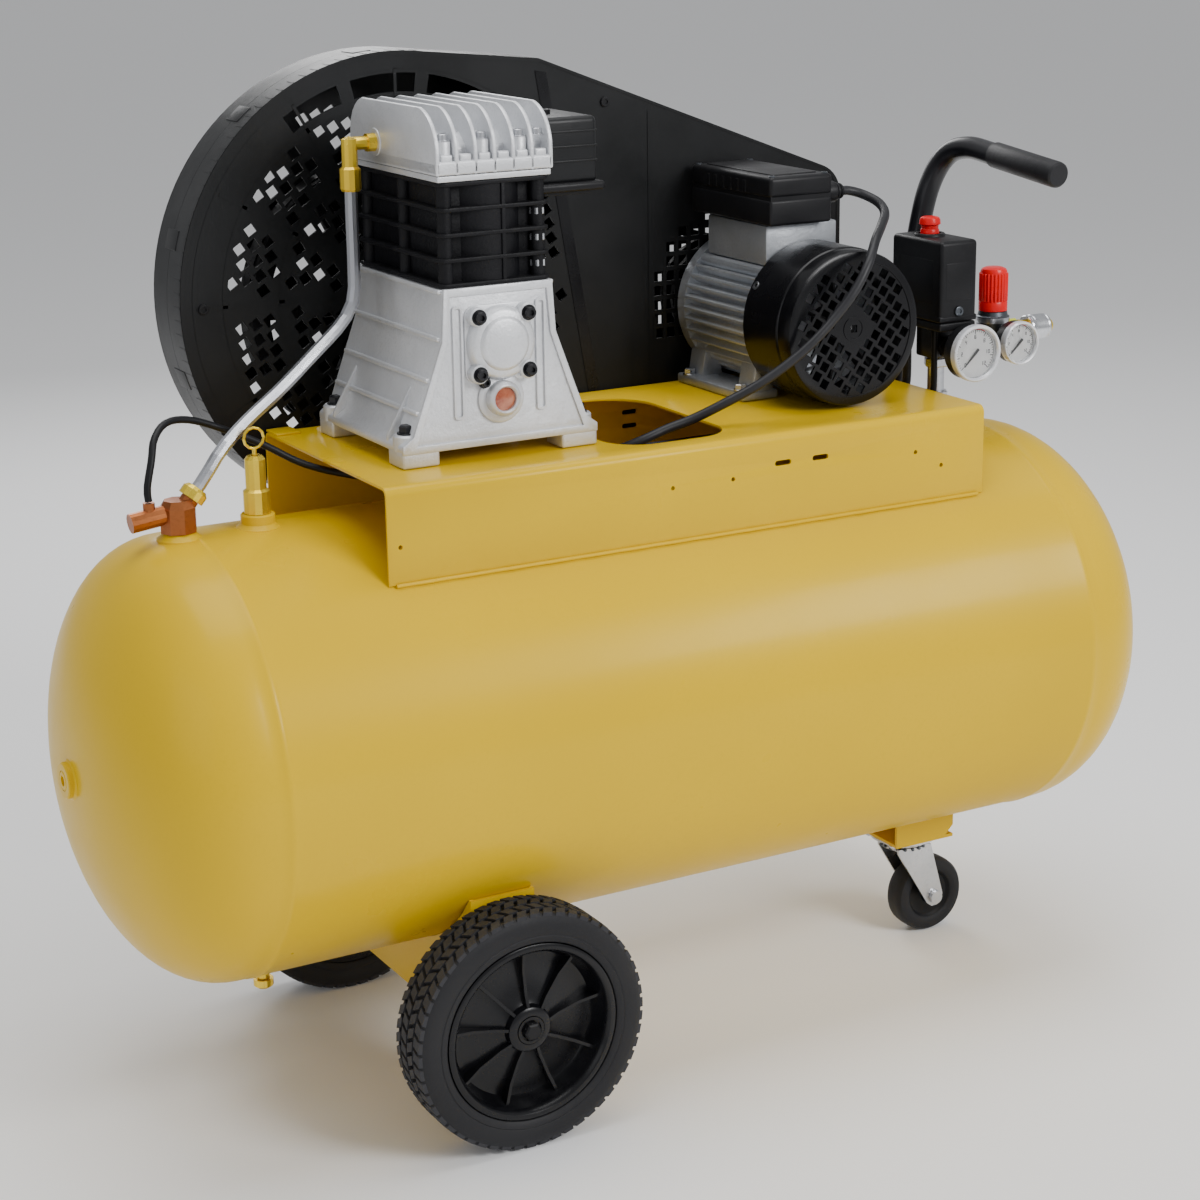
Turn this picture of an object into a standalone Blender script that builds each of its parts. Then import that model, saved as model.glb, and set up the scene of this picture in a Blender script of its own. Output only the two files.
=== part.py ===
"""Wheelbarrow air compressor: a belt-driven two-cylinder pump on a horizontal 100 litre tank.

Frame: +X along the tank towards the handle, -Y is the front, +Z up, Z = 0 is the ground.
The origin is on the ground below the middle of the tank. All sizes are in metres.
"""

import math

import bmesh
import bpy
from mathutils import Matrix, Vector

# ---------------------------------------------------------------- driving dimensions
GAP = 0.0003  # air gap between pieces that touch
RUN = 0.0006  # radial clearance of turning and sliding pieces

TANK_LENGTH = 1.0035
TANK_RADIUS = 0.185
TANK_WALL = 0.003
HEAD_DEPTH = 0.103
HEAD_POWER = 2.11  # exponent of the dished end's outline
TANK_UNDERSIDE = 0.131  # lowest line of the tank above the ground
AXIS_HEIGHT = TANK_UNDERSIDE + TANK_RADIUS
TOP_SHIFT = TANK_RADIUS - 0.185  # what stands on the tank moves with its top line
END_BOSS_REACH = 0.006
END_BOSS_RADIUS = 0.015
PORT_RADIUS = 0.0068
STEM_RADIUS = PORT_RADIUS - RUN
STEM_LENGTH = 0.008

PLATE_LEFT = -0.267
PLATE_RIGHT = 0.314
PLATE_FRONT = -0.110
PLATE_BACK = 0.138
PLATE_RISE = 0.2295  # plate top above the axis of the 370 mm tank
PLATE_SHEET = 0.0025
PLATE_BEND = 0.006
PLATE_TOP = AXIS_HEIGHT + TOP_SHIFT + PLATE_RISE

HALF_WIDTH = TANK_RADIUS + 0.0195  # outer faces of the wheels, clear of the tank
WHEEL_RADIUS = 0.1035
WHEEL_X = -0.196
TYRE_WIDTH = 0.048
RIM_RADIUS = 0.0770
RIM_LIP = 0.0665
HUB_RADIUS = 0.013
AXLE_RADIUS = 0.007
RIM_RIBS = 8
BRACKET_PLATE = 0.0035
BRACKET_WIDTH = 0.058
BRACKET_INSIDE = HALF_WIDTH - TYRE_WIDTH - 0.0075

CASTER_X = 0.316
CASTER_TRAIL = 0.026
CASTER_RADIUS = 0.0375
CASTER_WIDTH = 0.024
CASTER_BRACKET_WIDTH = 0.066
CASTER_BRACKET_HALF_DEPTH = 0.035
CASTER_BRACKET_FLOOR = 0.105  # height of the bracket's underside
CASTER_SHEET = 0.003
CASTER_PIN_RADIUS = 0.004

PUMP_X = -0.140
PUMP_FRONT = -0.062
PUMP_BACK = 0.108
CRANK_RISE = 0.0955  # crank axis above the plate
CRANKCASE_RISE = 0.142
BASE_HALF = 0.089
BORE_RADIUS = 0.0275
BORE_PLACES = (-0.018, 0.058)
CRANK_THROW = 0.020
SHAFT_RADIUS = 0.0125
CHAMBER_RADIUS = 0.043
BLOCK_HALF = 0.050
BLOCK_FRONT = -0.060
BLOCK_BACK = 0.100
BLOCK_HEIGHT = 0.0835
VALVE_PLATE_HEIGHT = 0.0055
HEAD_HALF = 0.052
HEAD_HEIGHT = 0.053
HEAD_FINS = 7
HEAD_FIN = 0.004

MOTOR_X = 0.208
MOTOR_RISE = 0.071  # shaft height of the motor
MOTOR_RADIUS = 0.066
MOTOR_FINS = 20
MOTOR_FIN_DEPTH = 0.008
MOTOR_FRONT = 0.0
MOTOR_BACK = 0.136
STATOR_RADIUS = MOTOR_RADIUS - 0.0135
ROTOR_RADIUS = STATOR_RADIUS - 0.0185
MOTOR_SHAFT_RADIUS = 0.009
COWL_RADIUS = MOTOR_RADIUS + 0.0035
COWL_FRONT = -0.0605
COWL_BACK = 0.012
COWL_WALL = 0.0018

FLYWHEEL_PITCH = 0.1215
BELT_RATIO = 2.5
PULLEY_PITCH = FLYWHEEL_PITCH / BELT_RATIO
BELT_WIDTH = 0.013
BELT_BELOW = 0.0040
BELT_ABOVE = 0.0045
BELT_Y = 0.174
FLYWHEEL_WIDTH = 0.030
PULLEY_WIDTH = 0.024

GUARD_X = -0.131
GUARD_RISE = 0.339  # centre of the round part above the tank axis
GUARD_RADIUS = 0.2045
GUARD_FRONT = 0.1415
GUARD_SPLIT = 0.172
GUARD_BACK = 0.2045
GUARD_WALL = 0.0025
GUARD_RIGHT = 0.330

RISER_X = 0.342
SWITCH_LEFT = 0.315
SWITCH_RIGHT = 0.356
SWITCH_FRONT = -0.0405
SWITCH_BACK = 0.0355
SWITCH_RISE = 0.283  # underside above the tank axis
SWITCH_BASE = 0.008
SWITCH_HEIGHT = 0.082
REGULATOR_X = 0.406
GAUGE_RISE = 0.265
TANK_GAUGE_RADIUS = 0.026
OUTLET_GAUGE_RADIUS = 0.020
TANK_GAUGE_FACE = -0.063
OUTLET_GAUGE_FACE = -0.045
GAUGE_DEPTH = 0.022
COUPLER_RISE = 0.269

HANDLE_RADIUS = 0.0102
HANDLE_WALL = 0.0015
GRIP_RADIUS = HANDLE_RADIUS + 0.0016

CHECK_X = -0.398
SAFETY_X = -0.331
DRAIN_X = -0.348
BOSS_TOP = 0.196  # top of the fittings' bosses above the tank axis

PIPE_RADIUS = 0.0055
CABLE_RADIUS = 0.0042
RELIEF_RADIUS = 0.0030

# ---------------------------------------------------------------- scene and materials
for old in list(bpy.data.objects):
    bpy.data.objects.remove(old, do_unlink=True)

parts = bpy.data.collections.new("wheelbarrow_air_compressor")
cutters = bpy.data.collections.new("cutters")
bpy.context.scene.collection.children.link(parts)
bpy.context.scene.collection.children.link(cutters)

FINISHES = {
    "yellow_paint": ((0.91, 0.53, 0.01), 0.30, 0.0),
    "black_plastic": ((0.02, 0.02, 0.022), 0.45, 0.0),
    "black_paint": ((0.015, 0.015, 0.017), 0.35, 0.0),
    "rubber": ((0.03, 0.03, 0.034), 0.75, 0.0),
    "cast_aluminium": ((0.62, 0.63, 0.65), 0.45, 0.9),
    "steel": ((0.55, 0.56, 0.58), 0.35, 1.0),
    "brass": ((0.62, 0.42, 0.12), 0.35, 1.0),
    "red_plastic": ((0.75, 0.01, 0.01), 0.35, 0.0),
    "glass": ((0.45, 0.12, 0.05), 0.10, 0.0),
    "white_dial": ((0.85, 0.85, 0.85), 0.40, 0.0),
}


def finish(name):
    """The Principled material of this name, made once."""
    if name in bpy.data.materials:
        return bpy.data.materials[name]
    colour, roughness, metallic = FINISHES[name]
    material = bpy.data.materials.new(name)
    material.use_nodes = True
    shader = material.node_tree.nodes["Principled BSDF"]
    shader.inputs["Base Color"].default_value = (*colour, 1.0)
    shader.inputs["Roughness"].default_value = roughness
    shader.inputs["Metallic"].default_value = metallic
    return material


# ---------------------------------------------------------------- shape helpers
TURN = {
    "X": Matrix.Rotation(math.radians(90), 4, "Y"),
    "Y": Matrix.Rotation(math.radians(-90), 4, "X"),
    "Z": Matrix.Identity(4),
}


def add(name, data, place=(0, 0, 0)):
    """A new object in the parts collection."""
    made = bpy.data.objects.new(name, data)
    made.location = place
    parts.objects.link(made)
    return made


def from_bmesh(name, shape, place=(0, 0, 0), smooth=True):
    mesh = bpy.data.meshes.new(name)
    shape.to_mesh(mesh)
    shape.free()
    if smooth:
        mesh.shade_smooth()
        mesh.set_sharp_from_angle(angle=math.radians(35))
    return add(name, mesh, place)


def bevelled(made, width, segments=2):
    edge = made.modifiers.new("round_edges", "BEVEL")
    edge.width = width
    edge.segments = segments
    edge.limit_method = "ANGLE"
    edge.angle_limit = math.radians(50)
    return made


def block(name, low, high, round_edge=0.0, segments=1):
    """A box between two corners."""
    low, high = Vector(low), Vector(high)
    shape = bmesh.new()
    bmesh.ops.create_cube(shape, size=1.0, matrix=Matrix.Diagonal((*(high - low), 1.0)))
    made = from_bmesh(name, shape, (low + high) / 2, smooth=False)
    if round_edge:
        bevelled(made, round_edge, segments)
    return made


def rod(name, axis, start, length, radius, sides=12, end_radius=None):
    """A cylinder or cone from a start point along +axis, which is X, Y, Z or a vector."""
    turn = TURN[axis] if isinstance(axis, str) else Vector((0, 0, 1)).rotation_difference(axis).to_matrix().to_4x4()
    shape = bmesh.new()
    bmesh.ops.create_cone(
        shape,
        cap_ends=True,
        segments=sides,
        radius1=radius,
        radius2=radius if end_radius is None else end_radius,
        depth=length,
        matrix=turn @ Matrix.Translation((0, 0, length / 2)),
    )
    return from_bmesh(name, shape, start)


def shoelace(points):
    return sum(
        a[0] * b[1] - b[0] * a[1] for a, b in zip(points, list(points[1:]) + [points[0]])
    )


def turned(name, profile, axis="Z", place=(0, 0, 0), steps=32, ring=False):
    """A Screw of (radius, height) points about an axis; a ring's profile is a closed loop."""
    profile = list(profile)
    if shoelace(profile) > 0:
        profile.reverse()
    mesh = bpy.data.meshes.new(name)
    last = len(profile)
    edges = [(i, i + 1) for i in range(last - 1)]
    if ring:
        edges.append((last - 1, 0))
    mesh.from_pydata([(r, 0.0, h) for r, h in profile], edges, [])
    made = add(name, mesh, place)
    made.rotation_euler = TURN[axis].to_euler()
    screw = made.modifiers.new("turn", "SCREW")
    screw.axis = "Z"
    screw.steps = steps
    screw.render_steps = steps
    screw.use_merge_vertices = True
    screw.merge_threshold = 0.00005
    screw.use_smooth_shade = True
    return made


def as_mesh(made):
    """The same object with its evaluated shape as a plain, welded mesh."""
    name, matrix = made.name, made.matrix_basis.copy()
    seen = made.evaluated_get(bpy.context.evaluated_depsgraph_get())
    mesh = bpy.data.meshes.new_from_object(seen)
    shape = bmesh.new()
    shape.from_mesh(mesh)
    bmesh.ops.remove_doubles(shape, verts=shape.verts, dist=0.00001)
    bmesh.ops.recalc_face_normals(shape, faces=shape.faces)
    shape.to_mesh(mesh)
    shape.free()
    bpy.data.objects.remove(made, do_unlink=True)
    mesh.name = name
    result = add(name, mesh)
    result.matrix_basis = matrix
    return result


def tube(name, points, radius, resolution=2):
    """A round wire or pipe along the points, as a POLY curve."""
    curve = bpy.data.curves.new(name, "CURVE")
    curve.dimensions = "3D"
    curve.bevel_depth = radius
    curve.bevel_resolution = resolution
    curve.use_fill_caps = True
    spline = curve.splines.new("POLY")
    spline.points.add(len(points) - 1)
    for point, where in zip(spline.points, points):
        point.co = (*where, 1.0)
    return add(name, curve)


def flat(name, outlines, plane, start, thickness):
    """A flat outline, with holes, in plane XZ, YZ or XY, made thick along the third axis."""
    curve = bpy.data.curves.new(name, "CURVE")
    curve.dimensions = "2D"
    curve.fill_mode = "BOTH"
    curve.extrude = thickness / 2
    for outline in outlines:
        spline = curve.splines.new("POLY")
        spline.points.add(len(outline) - 1)
        for point, where in zip(spline.points, outline):
            point.co = (where[0], where[1], 0.0, 1.0)
        spline.use_cyclic_u = True
    made = add(name, curve)
    middle = start + thickness / 2
    if plane == "XZ":
        made.rotation_euler = (math.radians(90), 0, 0)
        made.location = (0, middle, 0)
    elif plane == "YZ":
        made.rotation_euler = (math.radians(90), 0, math.radians(90))
        made.location = (middle, 0, 0)
    else:
        made.location = (0, 0, middle)
    bpy.context.view_layer.update()
    return as_mesh(made)


def combine(target, pieces, operation):
    for piece in pieces:
        if piece.name in parts.objects:
            parts.objects.unlink(piece)
            cutters.objects.link(piece)
        piece.hide_render = True
        piece.display_type = "WIRE"
        step = target.modifiers.new(operation.lower(), "BOOLEAN")
        step.operation = operation
        step.object = piece
    return target


def cut(target, *pieces):
    return combine(target, pieces, "DIFFERENCE")


def join(target, *pieces):
    return combine(target, pieces, "UNION")


def dressed(made, name):
    made.data.materials.clear()
    made.data.materials.append(finish(name))
    return made


def arc(centre, radius, start, end, count):
    """Points on an arc, angles in degrees."""
    turns = [math.radians(start + (end - start) * i / (count - 1)) for i in range(count)]
    return [(centre[0] + radius * math.cos(t), centre[1] + radius * math.sin(t)) for t in turns]


def rounded(corners, count=5):
    """A closed outline of (x, y, radius) corners, each rounded by an arc."""
    points = []
    for i, (x, y, radius) in enumerate(corners):
        here = Vector((x, y))
        before = (Vector(corners[i - 1][:2]) - here).normalized()
        after = (Vector(corners[(i + 1) % len(corners)][:2]) - here).normalized()
        if radius == 0:
            points.append((x, y))
            continue
        half = before.angle(after) / 2
        reach = radius / math.tan(half)
        centre = here + (before + after).normalized() * (radius / math.sin(half))
        first = here + before * reach - centre
        last = here + after * reach - centre
        swing = first.angle_signed(last)
        for k in range(count):
            spoke = first.copy()
            spoke.rotate(Matrix.Rotation(-swing * k / (count - 1), 2))
            points.append(tuple(centre + spoke))
    return points


def smooth_route(knots, spacing):
    """Points at even spacing along a smooth curve through the knots."""
    knots = [Vector(k) for k in knots]
    ends = [2 * knots[0] - knots[1]] + knots + [2 * knots[-1] - knots[-2]]
    fine = []
    for i in range(1, len(ends) - 2):
        p0, p1, p2, p3 = ends[i - 1 : i + 3]
        for k in range(20):
            t = k / 20
            fine.append(
                0.5
                * (
                    2 * p1
                    + (p2 - p0) * t
                    + (2 * p0 - 5 * p1 + 4 * p2 - p3) * t * t
                    + (3 * p1 - p0 - 3 * p2 + p3) * t * t * t
                )
            )
    fine.append(knots[-1])
    total = sum((b - a).length for a, b in zip(fine, fine[1:]))
    count = max(2, round(total / spacing))
    step, gone, route = total / count, 0.0, [fine[0]]
    for a, b in zip(fine, fine[1:]):
        length = (b - a).length
        while len(route) < count and gone + length >= step * len(route):
            route.append(a.lerp(b, (step * len(route) - gone) / length))
        gone += length
    route.append(fine[-1])
    return route


def on_plate(height):
    return PLATE_TOP + height


def on_axis(height):
    return AXIS_HEIGHT + height


def on_top(height):
    """A height above the axis of the 370 mm tank, moved with the tank's top line."""
    return AXIS_HEIGHT + TOP_SHIFT + height


# ---------------------------------------------------------------- tank
def head_profile(length, radius, depth, count):
    """Half outline of a tank with dished ends, from one end of the axis to the other."""
    quarter = []
    for i in range(count + 1):
        turn = math.radians(90 * i / count)
        reach = abs(math.sin(turn)) ** (2 / HEAD_POWER) * depth
        away = abs(math.cos(turn)) ** (2 / HEAD_POWER) * radius
        quarter.append((away if i < count else 0.0, length / 2 - depth + reach))
    return list(reversed(quarter)) + [(r, -h) for r, h in quarter]


def tank_drop(y, clearance=0.0):
    """Height of the tank's surface above its axis at a distance y from its middle plane."""
    return math.sqrt((TANK_RADIUS + clearance) ** 2 - y * y)


HANDLE_FOOT = Vector((0.330, 0.055, on_top(0.186)))
HANDLE_LEAN = Vector((0.172, 0.0, 1.0)).normalized()
SOCKET_LENGTH = 0.026


def make_tank():
    tank = turned("tank", head_profile(TANK_LENGTH, TANK_RADIUS, HEAD_DEPTH, 6), "X", (0, 0, AXIS_HEIGHT), 32)
    boss_foot = TANK_RADIUS - 2 * TANK_WALL
    bosses = [
        rod("safety_boss", "Z", (SAFETY_X, 0, on_axis(boss_foot)), BOSS_TOP + TOP_SHIFT - boss_foot, 0.014),
        rod("check_boss", "Z", (CHECK_X, 0, on_axis(boss_foot)), 0.0105, 0.014),
        rod("riser_boss", "Z", (RISER_X, 0, on_axis(boss_foot)), BOSS_TOP + TOP_SHIFT - boss_foot, 0.014),
        rod("drain_boss", "Z", (DRAIN_X, 0, on_axis(-TANK_RADIUS - 0.006)), 0.012, 0.013),
        rod("handle_socket", HANDLE_LEAN, HANDLE_FOOT - HANDLE_LEAN * 0.012, SOCKET_LENGTH + 0.012, 0.0142),
    ]
    end = TANK_LENGTH / 2
    for side in (-1, 1):
        inner = end - 2 * TANK_WALL
        start = inner if side > 0 else -end - END_BOSS_REACH
        bosses.append(
            rod("end_boss", "X", (start, 0, AXIS_HEIGHT), 2 * TANK_WALL + END_BOSS_REACH, END_BOSS_RADIUS)
        )
    join(tank, *bosses)
    hollow = turned(
        "tank_hollow",
        head_profile(TANK_LENGTH - 2 * TANK_WALL, TANK_RADIUS - TANK_WALL, HEAD_DEPTH - TANK_WALL, 4),
        "X",
        (0, 0, AXIS_HEIGHT),
        20,
    )
    ports = [
        rod("port", "Z", (x, 0, on_axis(boss_foot - 0.004)), 0.04, PORT_RADIUS, 16)
        for x in (SAFETY_X, CHECK_X, RISER_X)
    ]
    ports.append(rod("drain_port", "Z", (DRAIN_X, 0, on_axis(-TANK_RADIUS - 0.01)), 0.02, PORT_RADIUS, 16))
    seat = rod("socket_bore", HANDLE_LEAN, HANDLE_FOOT, 0.06, HANDLE_RADIUS + GAP + 0.0001)
    cut(tank, hollow, *ports, seat)
    return dressed(tank, "yellow_paint")


# ---------------------------------------------------------------- mounting plate
PLATE_HOLE = rounded(
    [(-0.042, -0.085, 0.035), (0.072, -0.085, 0.035), (0.072, 0.105, 0.05), (-0.042, 0.105, 0.02)], 5
)
GUARD_BOLTS = ((-0.225, -0.02), (0.255, -0.02))


def make_mounting_plate():
    """An inverted channel: the sheet's middle line, bent over and stood on the tank."""
    half = PLATE_SHEET / 2
    front, back, top = PLATE_FRONT + half, PLATE_BACK - half, PLATE_TOP - half
    section = [(front, on_axis(tank_drop(front, 0.0006)) + half)]
    section += arc((front + PLATE_BEND, top - PLATE_BEND), PLATE_BEND, 180, 90, 4)
    section += arc((back - PLATE_BEND, top - PLATE_BEND), PLATE_BEND, 90, 0, 4)
    section += [(back, on_axis(tank_drop(back, 0.0006)) + half)]
    shape = bmesh.new()
    rails = [[shape.verts.new((x, y, z)) for y, z in section] for x in (PLATE_LEFT, PLATE_RIGHT)]
    for i in range(len(section) - 1):
        shape.faces.new((rails[0][i], rails[1][i], rails[1][i + 1], rails[0][i + 1]))
    bmesh.ops.recalc_face_normals(shape, faces=shape.faces)
    plate = from_bmesh("mounting_plate", shape)
    sheet = plate.modifiers.new("sheet", "SOLIDIFY")
    sheet.thickness = PLATE_SHEET
    sheet.offset = 0.0
    sheet.use_even_offset = True
    opening = flat("plate_opening", [PLATE_HOLE], "XY", PLATE_TOP - 0.02, 0.04)
    slots = []
    for x, z, y in ((0.102, 0.204, PLATE_FRONT), (0.140, 0.204, PLATE_FRONT), (0.093, 0.205, PLATE_BACK), (0.093, 0.192, PLATE_BACK)):
        slots.append(block("slot", (x - 0.008, y - 0.01, on_top(z) - 0.0025), (x + 0.008, y + 0.01, on_top(z) + 0.0025)))
    cut(plate, opening, *slots)
    return dressed(plate, "yellow_paint")


# ---------------------------------------------------------------- axle, wheels and their bracket
def make_axle_bracket():
    """Two ribs cut to the tank's round, closed at both ends by the plates that hold the axle."""
    left, right = WHEEL_X - BRACKET_WIDTH / 2, WHEEL_X + BRACKET_WIDTH / 2
    reach = BRACKET_INSIDE + 0.001
    floor = WHEEL_RADIUS - 0.0205
    swing = math.degrees(math.asin(reach / (TANK_RADIUS + 0.0008)))
    saddle = arc((0, AXIS_HEIGHT), TANK_RADIUS + 0.0008, 270 + swing, 270 - swing, 17)
    outline = [(-reach, floor + 0.012), (-reach + 0.03, floor), (reach - 0.03, floor), (reach, floor + 0.012)] + saddle
    bracket = flat("axle_bracket", [outline], "YZ", left, BRACKET_PLATE)
    other = flat("bracket_rib", [outline], "YZ", right - BRACKET_PLATE, BRACKET_PLATE)
    top = on_axis(-tank_drop(BRACKET_INSIDE)) - 0.001
    ends = []
    for side in (-1, 1):
        low = min(side * BRACKET_INSIDE, side * (BRACKET_INSIDE + BRACKET_PLATE))
        ends.append(block("bracket_end", (left, low, WHEEL_RADIUS - 0.0295), (right, low + BRACKET_PLATE, top)))
    bore = rod("axle_bore", "Y", (WHEEL_X, -0.2, WHEEL_RADIUS), 0.4, AXLE_RADIUS + GAP)
    cut(join(bracket, other, *ends), bore)
    return dressed(bracket, "yellow_paint")


def make_axle():
    reach = HALF_WIDTH - 0.004
    return dressed(rod("axle", "Y", (WHEEL_X, -reach, WHEEL_RADIUS), 2 * reach, AXLE_RADIUS), "steel")


def make_wheel(side):
    name = "front" if side < 0 else "rear"
    middle = side * (HALF_WIDTH - TYRE_WIDTH / 2)
    half, edge = TYRE_WIDTH / 2, 0.008
    shoulder = arc((WHEEL_RADIUS - edge, half - edge), edge, 0, 90, 3)
    profile = [(RIM_RADIUS + GAP, half - 0.004)] + [(RIM_RADIUS + 0.004, half)] + list(reversed(shoulder))
    profile += [(r, -h) for r, h in reversed(profile)]
    tyre = turned(name + "_tyre", profile, "Y", (WHEEL_X, middle, WHEEL_RADIUS), 28, ring=True)
    dressed(tyre, "rubber")

    lip = half - 0.0015
    web = 0.003
    rim_profile = [
        (HUB_RADIUS, half - 0.008),
        (HUB_RADIUS, web),
        (RIM_LIP, web),
        (RIM_LIP, lip),
        (RIM_RADIUS, lip),
        (RIM_RADIUS, -lip),
        (RIM_LIP, -lip),
        (RIM_LIP, -web),
        (HUB_RADIUS, -web),
        (HUB_RADIUS, -half + 0.001),
        (AXLE_RADIUS + RUN, -half + 0.001),
        (AXLE_RADIUS + RUN, half - 0.008),
    ]
    if side < 0:
        rim_profile = [(r, -h) for r, h in rim_profile]
    rim = turned(name + "_rim", rim_profile, "Y", (WHEEL_X, middle, WHEEL_RADIUS), 28, ring=True)
    ribs = []
    for i in range(RIM_RIBS):
        rib = block("rim_rib", (HUB_RADIUS - 0.003, -half + 0.010, -0.0015), (RIM_LIP + 0.002, half - 0.010, 0.0015))
        rib.data.transform(Matrix.Translation(rib.location))
        rib.location = (WHEEL_X, middle, WHEEL_RADIUS)
        rib.rotation_euler = (0, 2 * math.pi * (i + 0.5) / RIM_RIBS, 0)
        ribs.append(rib)
    join(rim, *ribs)
    dressed(rim, "black_plastic")


# ---------------------------------------------------------------- caster
def make_caster():
    depth = CASTER_BRACKET_HALF_DEPTH
    left = CASTER_X - CASTER_BRACKET_WIDTH / 2
    right = CASTER_X + CASTER_BRACKET_WIDTH / 2
    floor = CASTER_BRACKET_FLOOR
    bracket = block("caster_bracket", (left, -depth, floor), (right, depth, floor + CASTER_SHEET))
    for side in (-1, 1):
        near = min(side * depth, side * (depth - CASTER_SHEET))
        face = side * depth if side < 0 else depth
        top = on_axis(-tank_drop(abs(face) - CASTER_SHEET, 0.0006)) - 0.0002
        outline = [(left, floor), (right - 0.012, floor), (right, floor + 0.012), (right, top), (left, top)]
        join(bracket, flat("caster_flange", [outline], "XZ", near, CASTER_SHEET))
    cut(bracket, rod("king_bore", "Z", (CASTER_X, 0, floor - 0.01), 0.03, 0.0065, 16))
    dressed(bracket, "yellow_paint")

    under = floor - GAP
    race = 0.0195
    swivel = turned(
        "caster_swivel_plate",
        [(0, under + 0.008), (0.006, under + 0.008), (0.006, under), (0.0325, under), (0.0325, under - 0.003),
         (race, under - 0.003), (race, under - 0.010), (0.005, under - 0.010), (0.005, under - 0.0145), (0, under - 0.0145)],
        "Z", (CASTER_X, 0, 0), 16,
    )
    dressed(swivel, "steel")

    crown = under - 0.010 - RUN
    wheel_x = CASTER_X + CASTER_TRAIL
    inside = CASTER_WIDTH / 2 + 0.003
    sheet = 0.0025
    fork = turned(
        "caster_fork",
        [(0.005 + RUN, crown), (0.0205, crown), (0.0205, crown - sheet), (0.005 + RUN, crown - sheet)],
        "Z", (CASTER_X, 0, 0), 14, ring=True,
    )
    toe = 0.010
    for side in (-1, 1):
        near = min(side * inside, side * (inside + sheet))
        outline = [(CASTER_X - 0.0175, crown - 0.0002), (CASTER_X - 0.0175, crown - sheet - 0.002)]
        outline += arc((wheel_x, CASTER_RADIUS), toe, 215, 370, 5)
        outline += [(CASTER_X + 0.0205, crown - 0.0002)]
        join(fork, flat("fork_leg", [outline], "XZ", near, sheet))
    bridge = block(
        "fork_bridge", (CASTER_X - 0.0175, -inside - sheet, crown - sheet), (CASTER_X + 0.0170, inside + sheet, crown)
    )
    king = rod("king_clear", "Z", (CASTER_X, 0, crown - 0.01), 0.02, 0.005 + RUN, 14)
    bore = rod("pin_bore", "Y", (wheel_x, -0.03, CASTER_RADIUS), 0.06, CASTER_PIN_RADIUS + GAP, 16)
    cut(join(fork, bridge), king, bore)
    dressed(fork, "steel")

    half = CASTER_WIDTH / 2
    wheel = turned(
        "caster_wheel",
        [(CASTER_PIN_RADIUS + RUN, half + 0.002), (0.009, half + 0.002), (0.009, half - 0.003), (0.026, half - 0.003),
         (0.028, half), (CASTER_RADIUS - 0.004, half), (CASTER_RADIUS, half - 0.004),
         (CASTER_RADIUS, -half + 0.004), (CASTER_RADIUS - 0.004, -half), (0.028, -half), (0.026, -half + 0.003),
         (0.009, -half + 0.003), (0.009, -half - 0.002), (CASTER_PIN_RADIUS + RUN, -half - 0.002)],
        "Y", (wheel_x, 0, CASTER_RADIUS), 20, ring=True,
    )
    dressed(wheel, "rubber")
    outer = inside + sheet + GAP
    pin = turned(
        "caster_axle_bolt",
        [(0, outer + 0.004), (0.0062, outer + 0.004), (0.0062, outer), (CASTER_PIN_RADIUS, outer),
         (CASTER_PIN_RADIUS, -outer), (0.0065, -outer), (0.0065, -outer - 0.004), (0, -outer - 0.004)],
        "Y", (wheel_x, 0, CASTER_RADIUS), 16,
    )
    dressed(pin, "steel")


# ---------------------------------------------------------------- pump
def make_crankcase():
    """A cast box that flares to its feet, hollow round the crank and open to both cylinders."""
    foot = 0.012
    half = [(BASE_HALF, foot), (BASE_HALF, 0.019), (0.079, 0.026), (0.066, 0.060), (0.0515, 0.100), (0.0488, CRANKCASE_RISE)]
    outline = [(PUMP_X + x, on_plate(z)) for x, z in half]
    outline += [(PUMP_X - x, on_plate(z)) for x, z in reversed(half)]
    case = flat("crankcase", [outline], "XZ", PUMP_FRONT, PUMP_BACK - PUMP_FRONT)
    feet = []
    for side in (-1, 1):
        for y in (PUMP_FRONT, PUMP_BACK - 0.030):
            inner, outer = PUMP_X + side * 0.058, PUMP_X + side * BASE_HALF
            feet.append(
                block("foot", (min(inner, outer), y, on_plate(GAP)), (max(inner, outer), y + 0.030, on_plate(foot + 0.001)))
            )
            feet.append(rod("foot_boss", "Z", (PUMP_X + side * 0.0785, y + 0.015, on_plate(foot)), 0.015, 0.0115, 14))
    join(case, *feet)
    crank_z = on_plate(CRANK_RISE)
    chamber = rod("chamber", "Y", (PUMP_X, PUMP_FRONT + 0.010, crank_z), PUMP_BACK - PUMP_FRONT - 0.024, CHAMBER_RADIUS, 20)
    front_bore = rod("front_bore", "Y", (PUMP_X, PUMP_FRONT - 0.005, crank_z), 0.02, 0.022, 24)
    rear_bore = rod("rear_bore", "Y", (PUMP_X, PUMP_BACK - 0.03, crank_z), 0.05, SHAFT_RADIUS + RUN, 24)
    glass_bore = rod("glass_bore", "Y", (PUMP_X, PUMP_FRONT - 0.005, on_plate(0.050)), 0.02, 0.0095, 16)
    wells = [rod("well", "Z", (PUMP_X, y, crank_z), 0.08, BORE_RADIUS + 0.001, 20) for y in BORE_PLACES]
    cut(case, chamber, front_bore, rear_bore, glass_bore, *wells)
    dressed(case, "cast_aluminium")


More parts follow.
